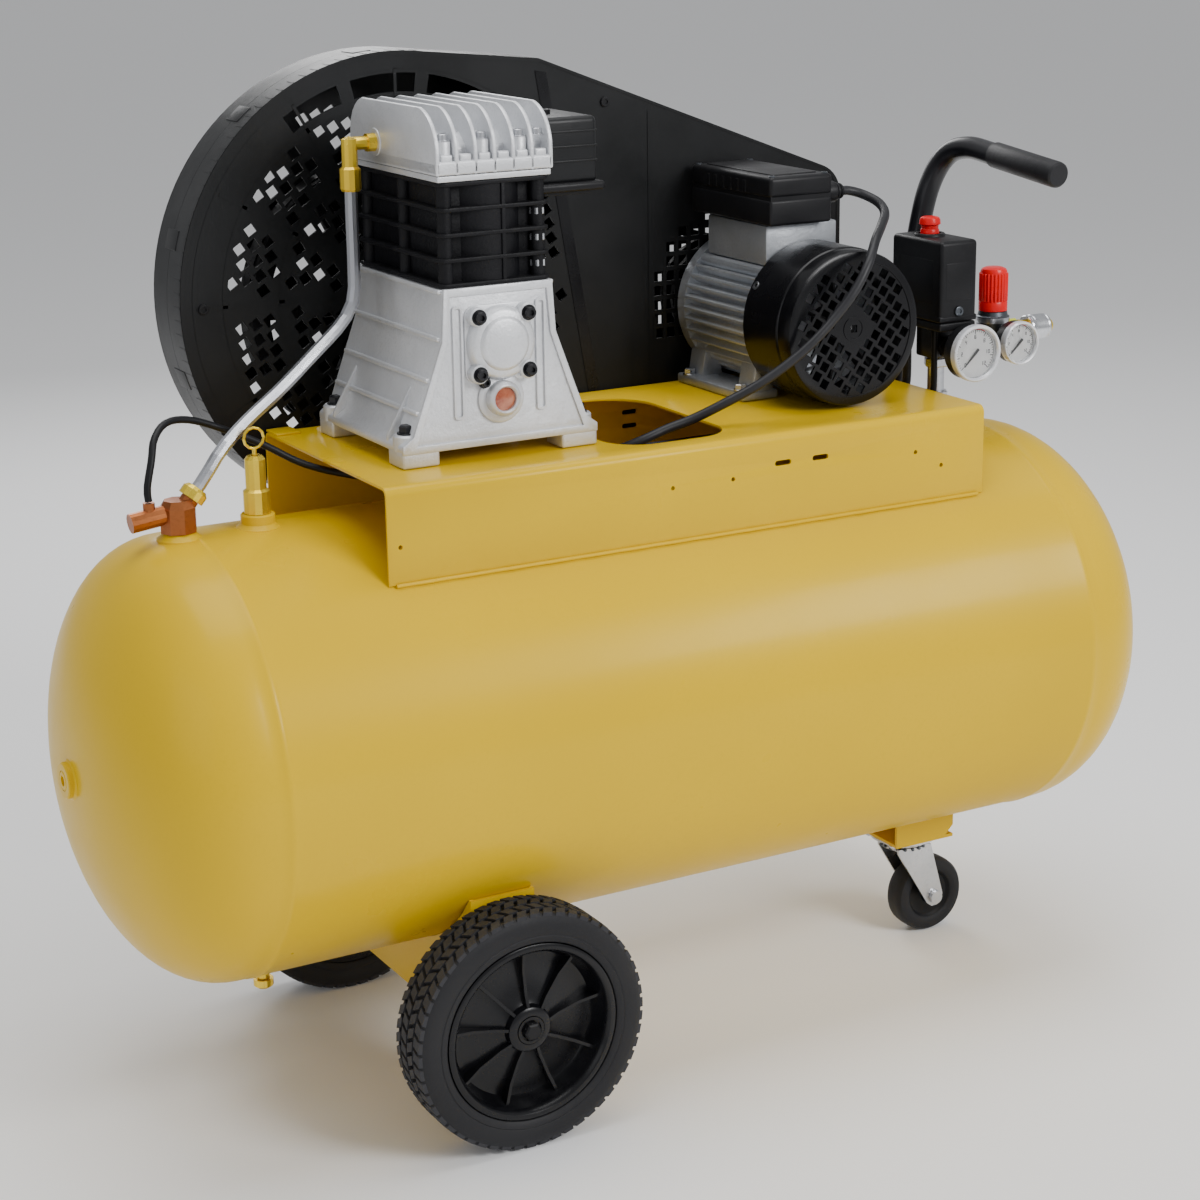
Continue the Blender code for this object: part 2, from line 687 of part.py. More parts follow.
def make_bearing_cover():
    back = PUMP_FRONT - GAP
    centre = (PUMP_X, 0, on_plate(CRANK_RISE))
    cover = turned(
        "bearing_cover",
        [(0, back + 0.008), (0.0215, back + 0.008), (0.0215, back), (0.031, back), (0.031, back - 0.008),
         (0.027, back - 0.011), (0, back - 0.011)],
        "Y", centre, 16,
    )
    lugs = [
        rod("lug", "Y", (PUMP_X + x * 0.022, back - 0.0085, centre[2] + z * 0.023), 0.0085, 0.0078, 8)
        for x in (-1, 1)
        for z in (-1, 1)
    ]
    dressed(join(cover, *lugs), "cast_aluminium")


def make_sight_glass():
    back = PUMP_FRONT - GAP
    glass = turned(
        "sight_glass",
        [(0, back + 0.006), (0.0092, back + 0.006), (0.0092, back), (0.0145, back), (0.0145, back - 0.006),
         (0.0120, back - 0.009), (0.0105, back - 0.009), (0.0100, back - 0.007), (0, back - 0.007)],
        "Y", (PUMP_X, 0, on_plate(0.050)), 16,
    )
    dressed(glass, "glass")


def make_crankshaft():
    centre_z = on_plate(CRANK_RISE)
    end = BELT_Y + FLYWHEEL_WIDTH / 2 + 0.004
    shaft = rod("crankshaft", "Y", (PUMP_X, PUMP_FRONT + 0.0085, centre_z), end - PUMP_FRONT - 0.0085, SHAFT_RADIUS, 16)
    gaps = []
    for y, up in zip(BORE_PLACES, (1, -1)):
        gaps.append(rod("pin_room", "Y", (PUMP_X, y - 0.010, centre_z), 0.020, 0.040, 12))
    cut(shaft, *gaps)
    more = []
    for y, up in zip(BORE_PLACES, (1, -1)):
        more.append(rod("crank_pin", "Y", (PUMP_X, y - 0.011, centre_z + up * CRANK_THROW), 0.022, 0.010, 12))
        for web in (y - 0.018, y + 0.010):
            more.append(rod("crank_web", "Y", (PUMP_X, web, centre_z), 0.008, 0.036, 14))
    dressed(join(shaft, *more), "steel")


def make_pistons():
    radius = BORE_RADIUS - 0.0004
    top = on_plate(CRANKCASE_RISE + BLOCK_HEIGHT) - 0.002
    for name, y, crown in (("front_piston", BORE_PLACES[0], top), ("rear_piston", BORE_PLACES[1], top - 2 * CRANK_THROW)):
        piston = turned(
            name,
            [(0, 0), (radius, 0), (radius, -0.040), (radius - 0.004, -0.040), (radius - 0.004, -0.008), (0, -0.008)],
            "Z", (PUMP_X, y, crown), 16,
        )
        dressed(piston, "cast_aluminium")


def make_cylinder_block():
    """A finned block: each groove is a box cut into a face, and the middle rib stays."""
    low = on_plate(CRANKCASE_RISE + GAP)
    high = on_plate(CRANKCASE_RISE + BLOCK_HEIGHT)
    body = block("cylinder_block", (PUMP_X - BLOCK_HALF, BLOCK_FRONT, low), (PUMP_X + BLOCK_HALF, BLOCK_BACK, high))
    bores = [rod("bore", "Z", (PUMP_X, y, low - 0.01), 0.12, BORE_RADIUS + 0.0006, 20) for y in BORE_PLACES]
    grooves = []
    rib, deep, tall = 0.002, 0.009, 0.0115
    for level in (0.008, 0.0265, 0.045, 0.0635):
        z = low + level
        for side in (-1, 1):
            face = PUMP_X + side * BLOCK_HALF
            inner = face - side * deep
            grooves.append(
                block("side_groove", (min(face, inner) - 0.001, BLOCK_FRONT + 0.011, z),
                      (max(face, inner) + 0.001, BLOCK_BACK - 0.011, z + tall))
            )
            for face_y, inward in ((BLOCK_FRONT, 1), (BLOCK_BACK, -1)):
                near, far = face_y - inward * 0.001, face_y + inward * deep
                x1, x2 = PUMP_X + side * rib, PUMP_X + side * (BLOCK_HALF - 0.006)
                grooves.append(
                    block("front_groove", (min(x1, x2), min(near, far), z), (max(x1, x2), max(near, far), z + tall))
                )
    cut(body, *bores, *grooves)
    dressed(body, "black_paint")


def make_valve_plate():
    low = on_plate(CRANKCASE_RISE + BLOCK_HEIGHT + GAP)
    plate = block(
        "valve_plate",
        (PUMP_X - BLOCK_HALF - 0.001, BLOCK_FRONT - 0.001, low),
        (PUMP_X + BLOCK_HALF + 0.001, BLOCK_BACK + 0.001, low + VALVE_PLATE_HEIGHT - GAP),
    )
    holes = [
        rod("valve_hole", "Z", (PUMP_X + x, y, low - 0.01), 0.03, 0.005, 10) for x in (-0.013, 0.013) for y in BORE_PLACES
    ]
    dressed(cut(plate, *holes), "cast_aluminium")


HEAD_LOW = CRANKCASE_RISE + BLOCK_HEIGHT + VALVE_PLATE_HEIGHT + GAP
ELBOW_Y = 0.052
ELBOW_RISE = 0.2485


def make_cylinder_head():
    """A finned casting: rounded from front to back, with slots between the fins."""
    low, high = on_plate(HEAD_LOW), on_plate(HEAD_LOW + HEAD_HEIGHT)
    front, back = BLOCK_FRONT - 0.002, BLOCK_BACK + 0.002
    outline = [(front, low), (front, low + 0.012)]
    outline += arc((front + 0.030, high - 0.034), 0.030, 180, 110, 6)
    outline += arc((back - 0.030, high - 0.034), 0.030, 70, 0, 6)
    outline = [(y, z + (0.004 if z > low + 0.02 else 0.0)) for y, z in outline]
    outline += [(back, low + 0.012), (back, low)]
    head = flat("cylinder_head", [outline], "YZ", PUMP_X - HEAD_HALF, 2 * HEAD_HALF)
    pitch = (2 * HEAD_HALF - HEAD_FIN) / (HEAD_FINS - 1)
    slots = []
    for i in range(HEAD_FINS - 1):
        left = PUMP_X - HEAD_HALF + HEAD_FIN + i * pitch
        right = left + pitch - HEAD_FIN
        for y1, y2, floor in ((front - 0.01, front + 0.022, 0.011), (front + 0.022, back - 0.022, 0.030), (back - 0.022, back + 0.01, 0.011)):
            slots.append(block("fin_slot", (left, y1 - 0.0001, low + floor), (right, y2 + 0.0001, high + 0.02)))
    rooms = [
        block("air_room", (PUMP_X - 0.032, y - 0.026, low - 0.01), (PUMP_X + 0.032, y + 0.026, low + 0.020))
        for y in BORE_PLACES
    ]
    outlet = rod("outlet_bore", "X", (PUMP_X - HEAD_HALF - 0.01, ELBOW_Y, on_plate(ELBOW_RISE)), 0.035, 0.0055 + 2 * GAP, 12)
    cut(head, *slots, *rooms, outlet)
    dressed(head, "cast_aluminium")


def make_air_filter():
    left = PUMP_X + HEAD_HALF + GAP
    low = on_plate(0.2035)
    body = block("air_filter", (left, -0.028, low + 0.008), (left + 0.060, 0.050, on_plate(0.267)), 0.004)
    base = block("filter_base", (left, -0.033, low), (left + 0.064, 0.055, low + 0.009), 0.002)
    intake = block("intake", (left + 0.008, -0.020, low - 0.01), (left + 0.052, 0.042, low + 0.040))
    dressed(cut(join(body, base), intake), "black_plastic")


# ---------------------------------------------------------------- belt drive
def make_flywheel():
    half = FLYWHEEL_WIDTH / 2
    groove = BELT_WIDTH / 2 + RUN
    rim_out = FLYWHEEL_PITCH + 0.0035
    floor = FLYWHEEL_PITCH - BELT_BELOW - RUN
    inner = floor - 0.009
    place = (PUMP_X, BELT_Y, on_plate(CRANK_RISE))
    rim = turned(
        "flywheel",
        [(inner, half), (rim_out, half), (rim_out, groove), (floor, groove), (floor, -groove), (rim_out, -groove),
         (rim_out, -half), (inner, -half)],
        "Y", place, 28, ring=True,
    )
    hub = turned(
        "flywheel_hub",
        [(SHAFT_RADIUS + GAP, half), (0.026, half), (0.030, -half), (SHAFT_RADIUS + GAP, -half)],
        "Y", place, 16, ring=True,
    )
    spokes = []
    for i in range(6):
        spoke = block("spoke", (0.022, -0.004, -0.011), (inner + 0.002, 0.004, 0.011))
        spoke.data.transform(Matrix.Translation(spoke.location))
        spoke.data.transform(Matrix.Rotation(math.radians(20), 4, "X"))
        spoke.location = place
        spoke.rotation_euler = (0, math.pi * i / 3, 0)
        spokes.append(spoke)
    join(rim, hub, *spokes)
    dressed(rim, "black_paint")


def make_motor_pulley():
    half = PULLEY_WIDTH / 2
    groove = BELT_WIDTH / 2 + RUN
    out, floor = PULLEY_PITCH + 0.0035, PULLEY_PITCH - BELT_BELOW - RUN
    bore = MOTOR_SHAFT_RADIUS + GAP
    pulley = turned(
        "motor_pulley",
        [(bore, half), (out, half), (out, groove), (floor, groove), (floor, -groove), (out, -groove), (out, -half),
         (bore, -half)],
        "Y", (MOTOR_X, BELT_Y, on_plate(MOTOR_RISE)), 20, ring=True,
    )
    dressed(pulley, "steel")


def belt_outline(offset, count=20):
    """Loop round both wheels at a distance from the pitch line."""
    big = Vector((PUMP_X, on_plate(CRANK_RISE)))
    small = Vector((MOTOR_X, on_plate(MOTOR_RISE)))
    line = small - big
    lean = math.degrees(math.atan2(line.y, line.x))
    open_angle = math.degrees(math.acos((FLYWHEEL_PITCH - PULLEY_PITCH) / line.length))
    loop = arc(big, FLYWHEEL_PITCH + offset, lean + open_angle, lean + 360 - open_angle, count)
    loop += arc(small, PULLEY_PITCH + offset, lean - open_angle, lean + open_angle, count // 2)
    return loop


def make_drive_belt():
    belt = flat(
        "drive_belt",
        [belt_outline(BELT_ABOVE), belt_outline(-BELT_BELOW + 0.0006)],
        "XZ", BELT_Y - BELT_WIDTH / 2, BELT_WIDTH,
    )
    dressed(belt, "rubber")


def guard_outline(inset=0.0):
    """Round over the flywheel, a straight slope over the belt and a blunt end round the pulley."""
    centre = (GUARD_X, on_top(GUARD_RISE))
    radius = GUARD_RADIUS - inset
    loop = arc(centre, radius, 82, 278, 22)
    tail = [
        (GUARD_RIGHT - 0.058, on_top(0.212) + inset, 0.045),
        (GUARD_RIGHT - inset, on_top(0.252), 0.040),
        (GUARD_RIGHT - inset, on_top(0.409) - inset, 0.030),
        (0.008, on_top(0.5305) - inset, 0.012),
    ]
    corners = [(*loop[-1], 0.0)] + tail + [(*loop[0], 0.0)]
    return loop + rounded(corners, 4)[1:-1]


def make_guard_half(name, closed_face, open_face, holes):
    """A tray: a flat face with a rim; the two trays meet at the split."""
    low, high = min(closed_face, open_face), max(closed_face, open_face)
    tray = flat(name, [guard_outline()], "XZ", low, high - low)
    if closed_face < open_face:
        inside = (low + GUARD_WALL, high + 0.01)
    else:
        inside = (low - 0.01, high - GUARD_WALL)
    hollow = flat(name + "_hollow", [guard_outline(GUARD_WALL)], "XZ", inside[0], inside[1] - inside[0])
    cut(tray, hollow, *holes)
    dressed(tray, "black_plastic")


def make_guards():
    crank = (PUMP_X, GUARD_FRONT - 0.01, on_plate(CRANK_RISE))
    motor = (MOTOR_X, GUARD_FRONT - 0.01, on_plate(MOTOR_RISE))
    holes = [rod("crank_opening", "Y", crank, 0.02, 0.030, 24), rod("motor_opening", "Y", motor, 0.02, 0.024, 24)]
    for turn in range(6, 15):
        angle = math.radians(turn * 360 / 20 - 18)
        vent = block("vent", (0.150, -0.02, -0.012), (0.180, 0.02, 0.012))
        vent.data.transform(Matrix.Translation(vent.location))
        vent.location = (GUARD_X, GUARD_FRONT, on_top(GUARD_RISE))
        vent.rotation_euler = (0, -angle, 0)
        holes.append(vent)
    make_guard_half("guard_front", GUARD_FRONT, GUARD_SPLIT - GAP / 2, holes)
    back_vents = []
    for ring, count in ((0.065, 5), (0.125, 8)):
        for i in range(count):
            angle = 2 * math.pi * i / count
            vent = block("back_vent", (ring - 0.016, -0.02, -0.015), (ring + 0.016, 0.02, 0.015))
            vent.data.transform(Matrix.Translation(vent.location))
            vent.location = (GUARD_X, GUARD_BACK, on_top(GUARD_RISE))
            vent.rotation_euler = (0, -angle, 0)
            back_vents.append(vent)
    make_guard_half("guard_rear", GUARD_BACK, GUARD_SPLIT + GAP / 2, back_vents)


# ---------------------------------------------------------------- motor
def motor_point(height=0.0, y=0.0, x=0.0):
    return (MOTOR_X + x, y, on_plate(MOTOR_RISE + height))


def make_motor_housing():
    outline = []
    centre = (MOTOR_X, on_plate(MOTOR_RISE))
    root = MOTOR_RADIUS - MOTOR_FIN_DEPTH
    for i in range(MOTOR_FINS):
        base = 360 * i / MOTOR_FINS
        for part, radius in ((0.0, root), (0.55, root), (0.60, MOTOR_RADIUS), (0.95, MOTOR_RADIUS)):
            turn = math.radians(base + part * 360 / MOTOR_FINS)
            outline.append((centre[0] + radius * math.cos(turn), centre[1] + radius * math.sin(turn)))
    housing = flat("motor_housing", [outline], "XZ", 0.016, 0.100)
    front_shield = rod("front_shield", "Y", motor_point(y=MOTOR_FRONT), 0.017, MOTOR_RADIUS + 0.0005, 28)
    back_shield = turned(
        "back_shield",
        [(0, 0.115), (MOTOR_RADIUS + 0.0008, 0.115), (MOTOR_RADIUS + 0.0008, 0.127), (MOTOR_RADIUS - 0.010, MOTOR_BACK),
         (0, MOTOR_BACK)],
        "Y", motor_point(), 28,
    )
    seat = block("box_seat", (0.163, COWL_BACK + 0.0015, on_plate(MOTOR_RISE + 0.045)), (0.240, 0.112, on_plate(0.156)))
    feet = [
        block("foot_bar", (MOTOR_X + s * 0.046 - 0.022, COWL_BACK + 0.0015, on_plate(GAP)), (MOTOR_X + s * 0.046 + 0.022, 0.128, on_plate(0.010)))
        for s in (-1, 1)
    ]
    stems = [
        block("foot_stem", (MOTOR_X + s * 0.034 - 0.008, 0.018, on_plate(0.008)), (MOTOR_X + s * 0.034 + 0.008, 0.112, on_plate(0.030)))
        for s in (-1, 1)
    ]
    join(housing, front_shield, back_shield, seat, *feet, *stems)
    room = rod("stator_room", "Y", motor_point(y=0.008), 0.120, STATOR_RADIUS + 0.0012, 24)
    shaft_hole = rod("shaft_hole", "Y", motor_point(y=-0.01), 0.17, MOTOR_SHAFT_RADIUS + RUN, 16)
    cut(housing, room, shaft_hole)
    dressed(housing, "cast_aluminium")


def make_motor_inside():
    stator = turned(
        "motor_stator",
        [(ROTOR_RADIUS + 0.0016, 0.105), (STATOR_RADIUS, 0.105), (STATOR_RADIUS, 0.030), (ROTOR_RADIUS + 0.0016, 0.030)],
        "Y", motor_point(), 16, ring=True,
    )
    dressed(stator, "steel")
    end = BELT_Y + PULLEY_WIDTH / 2 + 0.004
    shaft = turned(
        "rotor_shaft",
        [(0, end), (MOTOR_SHAFT_RADIUS, end), (MOTOR_SHAFT_RADIUS, 0.104), (ROTOR_RADIUS, 0.104), (ROTOR_RADIUS, 0.031),
         (MOTOR_SHAFT_RADIUS, 0.031), (MOTOR_SHAFT_RADIUS, -0.044), (0, -0.044)],
        "Y", motor_point(), 16,
    )
    dressed(shaft, "steel")
    fan = turned(
        "cooling_fan",
        [(MOTOR_SHAFT_RADIUS + GAP, -0.012), (0.014, -0.012), (0.014, -0.042), (MOTOR_SHAFT_RADIUS + GAP, -0.042)],
        "Y", motor_point(), 16, ring=True,
    )
    blades = []
    for i in range(7):
        blade = block("fan_blade", (0.012, -0.040, -0.001), (COWL_RADIUS - 0.0115, -0.014, 0.001))
        blade.data.transform(Matrix.Translation(blade.location))
        blade.location = motor_point()
        blade.rotation_euler = (0, 2 * math.pi * i / 7, 0)
        blades.append(blade)
    dressed(join(fan, *blades), "black_plastic")


def make_fan_cover():
    """A cup over the fan with a diagonal grid of square holes in its face."""
    edge, wall = 0.012, COWL_WALL
    outer = [(0, COWL_FRONT)] + list(reversed(arc((COWL_RADIUS - edge, COWL_FRONT + edge), edge, 0, -90, 4)))
    inner = [(COWL_RADIUS - wall, COWL_BACK)]
    inner += arc((COWL_RADIUS - edge, COWL_FRONT + edge), edge - wall, 0, -90, 4)
    cover = turned("fan_cover", outer + [(COWL_RADIUS, COWL_BACK)] + inner + [(0, COWL_FRONT + wall)], "Y", motor_point(), 24)
    pitch, side = 0.0230, 0.0180
    shape = bmesh.new()
    for i in range(-2, 3):
        for k in range(-2, 3):
            reach = math.hypot(i * pitch, k * pitch)
            if 0.011 < reach < 0.047:
                bmesh.ops.create_cube(
                    shape, size=1.0,
                    matrix=Matrix.Translation((i * pitch, 0, k * pitch)) @ Matrix.Diagonal((side, 0.02, side, 1.0)),
                )
    grid = from_bmesh("grille_holes", shape, (MOTOR_X, COWL_FRONT, on_plate(MOTOR_RISE)), smooth=False)
    grid.rotation_euler = (0, math.radians(45), 0)
    dressed(cut(cover, grid), "black_plastic")


BOX_LEFT, BOX_RIGHT = 0.159, 0.225
BOX_GLAND = (BOX_RIGHT, 0.014, 0.181)


def make_terminal_box():
    low, high = on_plate(0.1565), on_plate(0.2005)
    box = block("terminal_box", (BOX_LEFT, 0.0, low), (BOX_RIGHT, 0.134, high), 0.004)
    inside = block("box_room", (BOX_LEFT + 0.003, 0.003, low - 0.01), (BOX_RIGHT - 0.003, 0.131, high - 0.003))
    dressed(cut(box, inside), "black_plastic")
    x, y, z = BOX_GLAND
    gland = turned(
        "cable_gland",
        [(CABLE_RADIUS + GAP, GAP), (0.0095, GAP), (0.0095, 0.007), (0.0075, 0.009), (0.0065, 0.017), (CABLE_RADIUS + GAP, 0.017)],
        "X", (x, y, on_plate(z)), 16, ring=True,
    )
    dressed(gland, "black_plastic")


# ---------------------------------------------------------------- switch, regulator and gauges
KNOB_X, KNOB_Y = 0.3345, 0.004
SWITCH_TOP = SWITCH_RISE + SWITCH_HEIGHT


def make_switch():
    low = on_top(SWITCH_RISE)
    lid = low + SWITCH_BASE + GAP
    top = on_top(SWITCH_TOP)
    inset = 0.001
    base = block("switch_base", (SWITCH_LEFT + inset, SWITCH_FRONT + inset, low), (SWITCH_RIGHT - inset, SWITCH_BACK - inset, low + SWITCH_BASE))
    dressed(base, "black_plastic")
    cover = block("switch_cover", (SWITCH_LEFT, SWITCH_FRONT, lid), (SWITCH_RIGHT, SWITCH_BACK, top), 0.0025)
    wall = 0.002
    room = block(
        "switch_room",
        (SWITCH_LEFT + wall, SWITCH_FRONT + wall, lid - 0.01),
        (SWITCH_RIGHT - wall, SWITCH_BACK - wall, top - wall),
    )
    stem_hole = rod("stem_hole", "Z", (KNOB_X, KNOB_Y, top - 0.01), 0.02, 0.0042 + RUN, 16)
    dressed(cut(cover, room, stem_hole), "black_plastic")
    knob = turned(
        "switch_knob",
        [(0, top + 0.0165), (0.0085, top + 0.0165), (0.0100, top + 0.015), (0.0100, top + GAP), (0.0042, top + GAP),
         (0.0042, top - 0.020), (0, top - 0.020)],
        "Z", (KNOB_X, KNOB_Y, 0), 18,
    )
    dressed(knob, "red_plastic")
    gland = turned(
        "mains_gland",
        [(CABLE_RADIUS + GAP, GAP), (0.0085, GAP), (0.0085, 0.006), (0.0065, 0.014), (CABLE_RADIUS + GAP, 0.014)],
        "Y", (0.3355, SWITCH_BACK, low + 0.020), 16, ring=True,
    )
    dressed(gland, "black_plastic")


def make_riser():
    foot = on_top(BOSS_TOP + GAP)
    top = on_top(SWITCH_RISE - GAP)
    gauge = on_top(GAUGE_RISE)
    riser = turned(
        "riser_manifold",
        [(0, gauge), (0.0068, gauge), (0.0068, foot + 0.008), (0.0105, foot + 0.008), (0.0105, foot), (STEM_RADIUS, foot),
         (STEM_RADIUS, foot - STEM_LENGTH), (0, foot - STEM_LENGTH)],
        "Z", (RISER_X, 0, 0), 18,
    )
    cross = block("manifold", (RISER_X - 0.014, -0.014, gauge - 0.012), (RISER_X + 0.014, 0.014, top), 0.001, 1)
    arm = rod("nipple", "X", (RISER_X, 0, gauge), REGULATOR_X - 0.0155 - GAP - RISER_X, 0.0065, 16)
    dressed(join(riser, cross, arm), "steel")


def make_regulator():
    z = on_top
    body = turned(
        "regulator_body",
        [(0, z(0.289)), (0.0110, z(0.289)), (0.0110, z(0.285)), (0.0155, z(0.285)), (0.0155, z(0.254)),
         (0.0120, z(0.248)), (0, z(0.248))],
        "Z", (REGULATOR_X, 0, 0), 14,
    )
    dressed(body, "black_plastic")
    knob = turned(
        "regulator_knob",
        [(0, z(0.330)), (0.0120, z(0.330)), (0.0136, z(0.328)), (0.0136, z(0.301)), (0.0118, z(0.299)),
         (0.0124, z(0.297)), (0.0124, z(0.289) + RUN), (0, z(0.289) + RUN)],
        "Z", (REGULATOR_X, 0, 0), 14,
    )
    dressed(knob, "red_plastic")


def make_gauge(name, x, face, radius, stem_end):
    """A round case with a dial recess at the front, its stem at the back and a needle in the recess."""
    back = face + GAUGE_DEPTH
    place = (x, 0, on_top(GAUGE_RISE))
    dial = face + 0.006
    lip = radius - 0.0025
    case = turned(
        name,
        [(0, stem_end), (0.005, stem_end), (0.005, back), (radius - 0.002, back), (radius - 0.0005, back - 0.003),
         (radius, face + 0.005), (radius, face), (lip, face), (lip - 0.0010, dial), (0.0022, dial), (0.0022, dial - 0.0010),
         (0, dial - 0.0010)],
        "Y", place, 20,
    )
    dressed(case, "white_dial")
    length = radius * 0.66
    tip = dial - 0.0016
    needle = flat(
        name + "_needle",
        [[(-0.0011, 0.0045), (-0.0011, -0.0), (-0.0003, -length), (0.0003, -length), (0.0011, 0.0), (0.0011, 0.0045)]],
        "XZ", -0.00045, 0.0009,
    )
    matrix = Matrix.Translation((x, tip - 0.0003, on_top(GAUGE_RISE))) @ Matrix.Rotation(math.radians(45), 4, "Y")
    needle.data.transform(needle.matrix_basis)
    needle.matrix_basis = matrix
    dressed(needle, "black_plastic")


def make_gauges():
    make_gauge("tank_gauge", RISER_X, TANK_GAUGE_FACE, TANK_GAUGE_RADIUS, -0.014 - GAP)
    make_gauge("outlet_gauge", REGULATOR_X, OUTLET_GAUGE_FACE, OUTLET_GAUGE_RADIUS, -0.0155 - GAP)


def make_coupler():
    start = REGULATOR_X + 0.0155 + GAP
    place = (0, 0, on_top(COUPLER_RISE))
    barrel, bore, mouth = 0.0076, 0.0045, start + 0.052
    body = turned(
        "coupler_body",
        [(0, start), (0.0062, start), (0.0062, start + 0.006), (0.0105, start + 0.006), (0.0105, start + 0.016),
         (barrel, start + 0.016), (barrel, mouth), (bore, mouth), (bore, mouth - 0.022), (0, mouth - 0.022)],
        "X", place, 14,
    )
    dressed(body, "brass")
    sleeve = turned(
        "coupler_sleeve",
        [(barrel + RUN, start + 0.023), (0.0112, start + 0.023), (0.0118, start + 0.026), (0.0118, start + 0.042),
         (0.0105, start + 0.046), (barrel + RUN, start + 0.046)],
        "X", place, 14, ring=True,
    )
    dressed(sleeve, "steel")


# ---------------------------------------------------------------- valves and the delivery line
BOX_GLAND_END = BOX_RIGHT + 0.0185
SWITCH_INLET = SWITCH_RISE - GAP
PIPE_KNOTS = [
    (-0.2150, 0.052, 0.4395),
    (-0.2152, 0.052, 0.4100),
    (-0.2155, 0.0515, 0.3760),
    (-0.2180, 0.050, 0.3510),
    (-0.2310, 0.046, 0.3330),
    (-0.2600, 0.038, 0.3120),
    (-0.2950, 0.028, 0.2880),
    (-0.3300, 0.016, 0.2680),
    (-0.3560, 0.006, 0.2500),
]
NUT_AXIS = Vector((0.65, 0.0, 0.76)).normalized()
NUT_PLACE = Vector((-0.3870, 0.0, 0.2152))
PIPE_KNOTS += [tuple(NUT_PLACE + NUT_AXIS * reach) for reach in (0.020, 0.010, 0.0005)]
RELIEF_KNOTS = [
    (-0.4215, 0.000, 0.2172),
    (-0.4215, 0.001, 0.2280),
    (-0.4150, 0.006, 0.2480),
    (-0.4080, 0.016, 0.2630),
    (-0.3930, 0.028, 0.2720),
    (-0.3700, 0.036, 0.2700),
    (-0.3400, 0.038, 0.2580),
    (-0.3100, 0.034, 0.2430),
    (-0.2750, 0.024, 0.2230),
    (-0.2300, 0.004, 0.2110),
    (-0.1700, -0.020, 0.2030),
    (-0.0900, -0.038, 0.1960),
    (0.0100, -0.044, 0.1930),
    (0.1100, -0.044, 0.1930),
    (0.2100, -0.041, 0.1950),
    (0.2700, -0.032, 0.2010),
    (0.2950, -0.026, 0.2048),
    (0.3120, -0.023, 0.2090),
    (0.3195, -0.022, 0.2165),
    (0.3233, -0.022, 0.2280),
    (0.3235, -0.022, 0.2600),
    (0.3235, -0.022, SWITCH_INLET),
]
CABLE_KNOTS = [
    (BOX_GLAND_END, 0.014, 0.4105),
    (0.2520, 0.0138, 0.4100),
    (0.2640, 0.0080, 0.4060),
    (0.2690, -0.0080, 0.4000),
    (0.2620, -0.0270, 0.3935),
    (0.2450, -0.0460, 0.3860),
    (0.2260, -0.0640, 0.3765),
    (0.2094, -0.0780, 0.3604),
    (0.1927, -0.0820, 0.3384),
    (0.1740, -0.0800, 0.3170),
    (0.1540, -0.0790, 0.2990),
    (0.1320, -0.0750, 0.2820),
    (0.1040, -0.0680, 0.2640),
    (0.0740, -0.0590, 0.2490),
    (0.0480, -0.0500, 0.2370),
    (0.0260, -0.0455, 0.2305),
    (0.0021, -0.0425, 0.2225),
    (-0.0140, -0.0319, 0.2150),
    (-0.0220, -0.0100, 0.2080),
    (-0.0140, 0.0119, 0.2030),
    (0.0004, 0.0219, 0.2005),
    (0.0200, 0.0240, 0.1992),
    (0.0600, 0.0240, 0.1985),
    (0.1200, 0.0238, 0.1983),
    (0.2000, 0.0235, 0.1980),
    (0.2600, 0.0230, 0.1976),
    (0.2900, 0.0222, 0.1975),
    (0.3070, 0.0216, 0.2022),
    (0.3184, 0.0211, 0.2125),
    (0.3237, 0.0206, 0.2270),
    (0.3236, 0.0200, 0.2600),
    (0.3235, 0.0200, SWITCH_INLET),
]


def raised(knots):
    return [(x, y, on_top(z)) for x, y, z in knots]


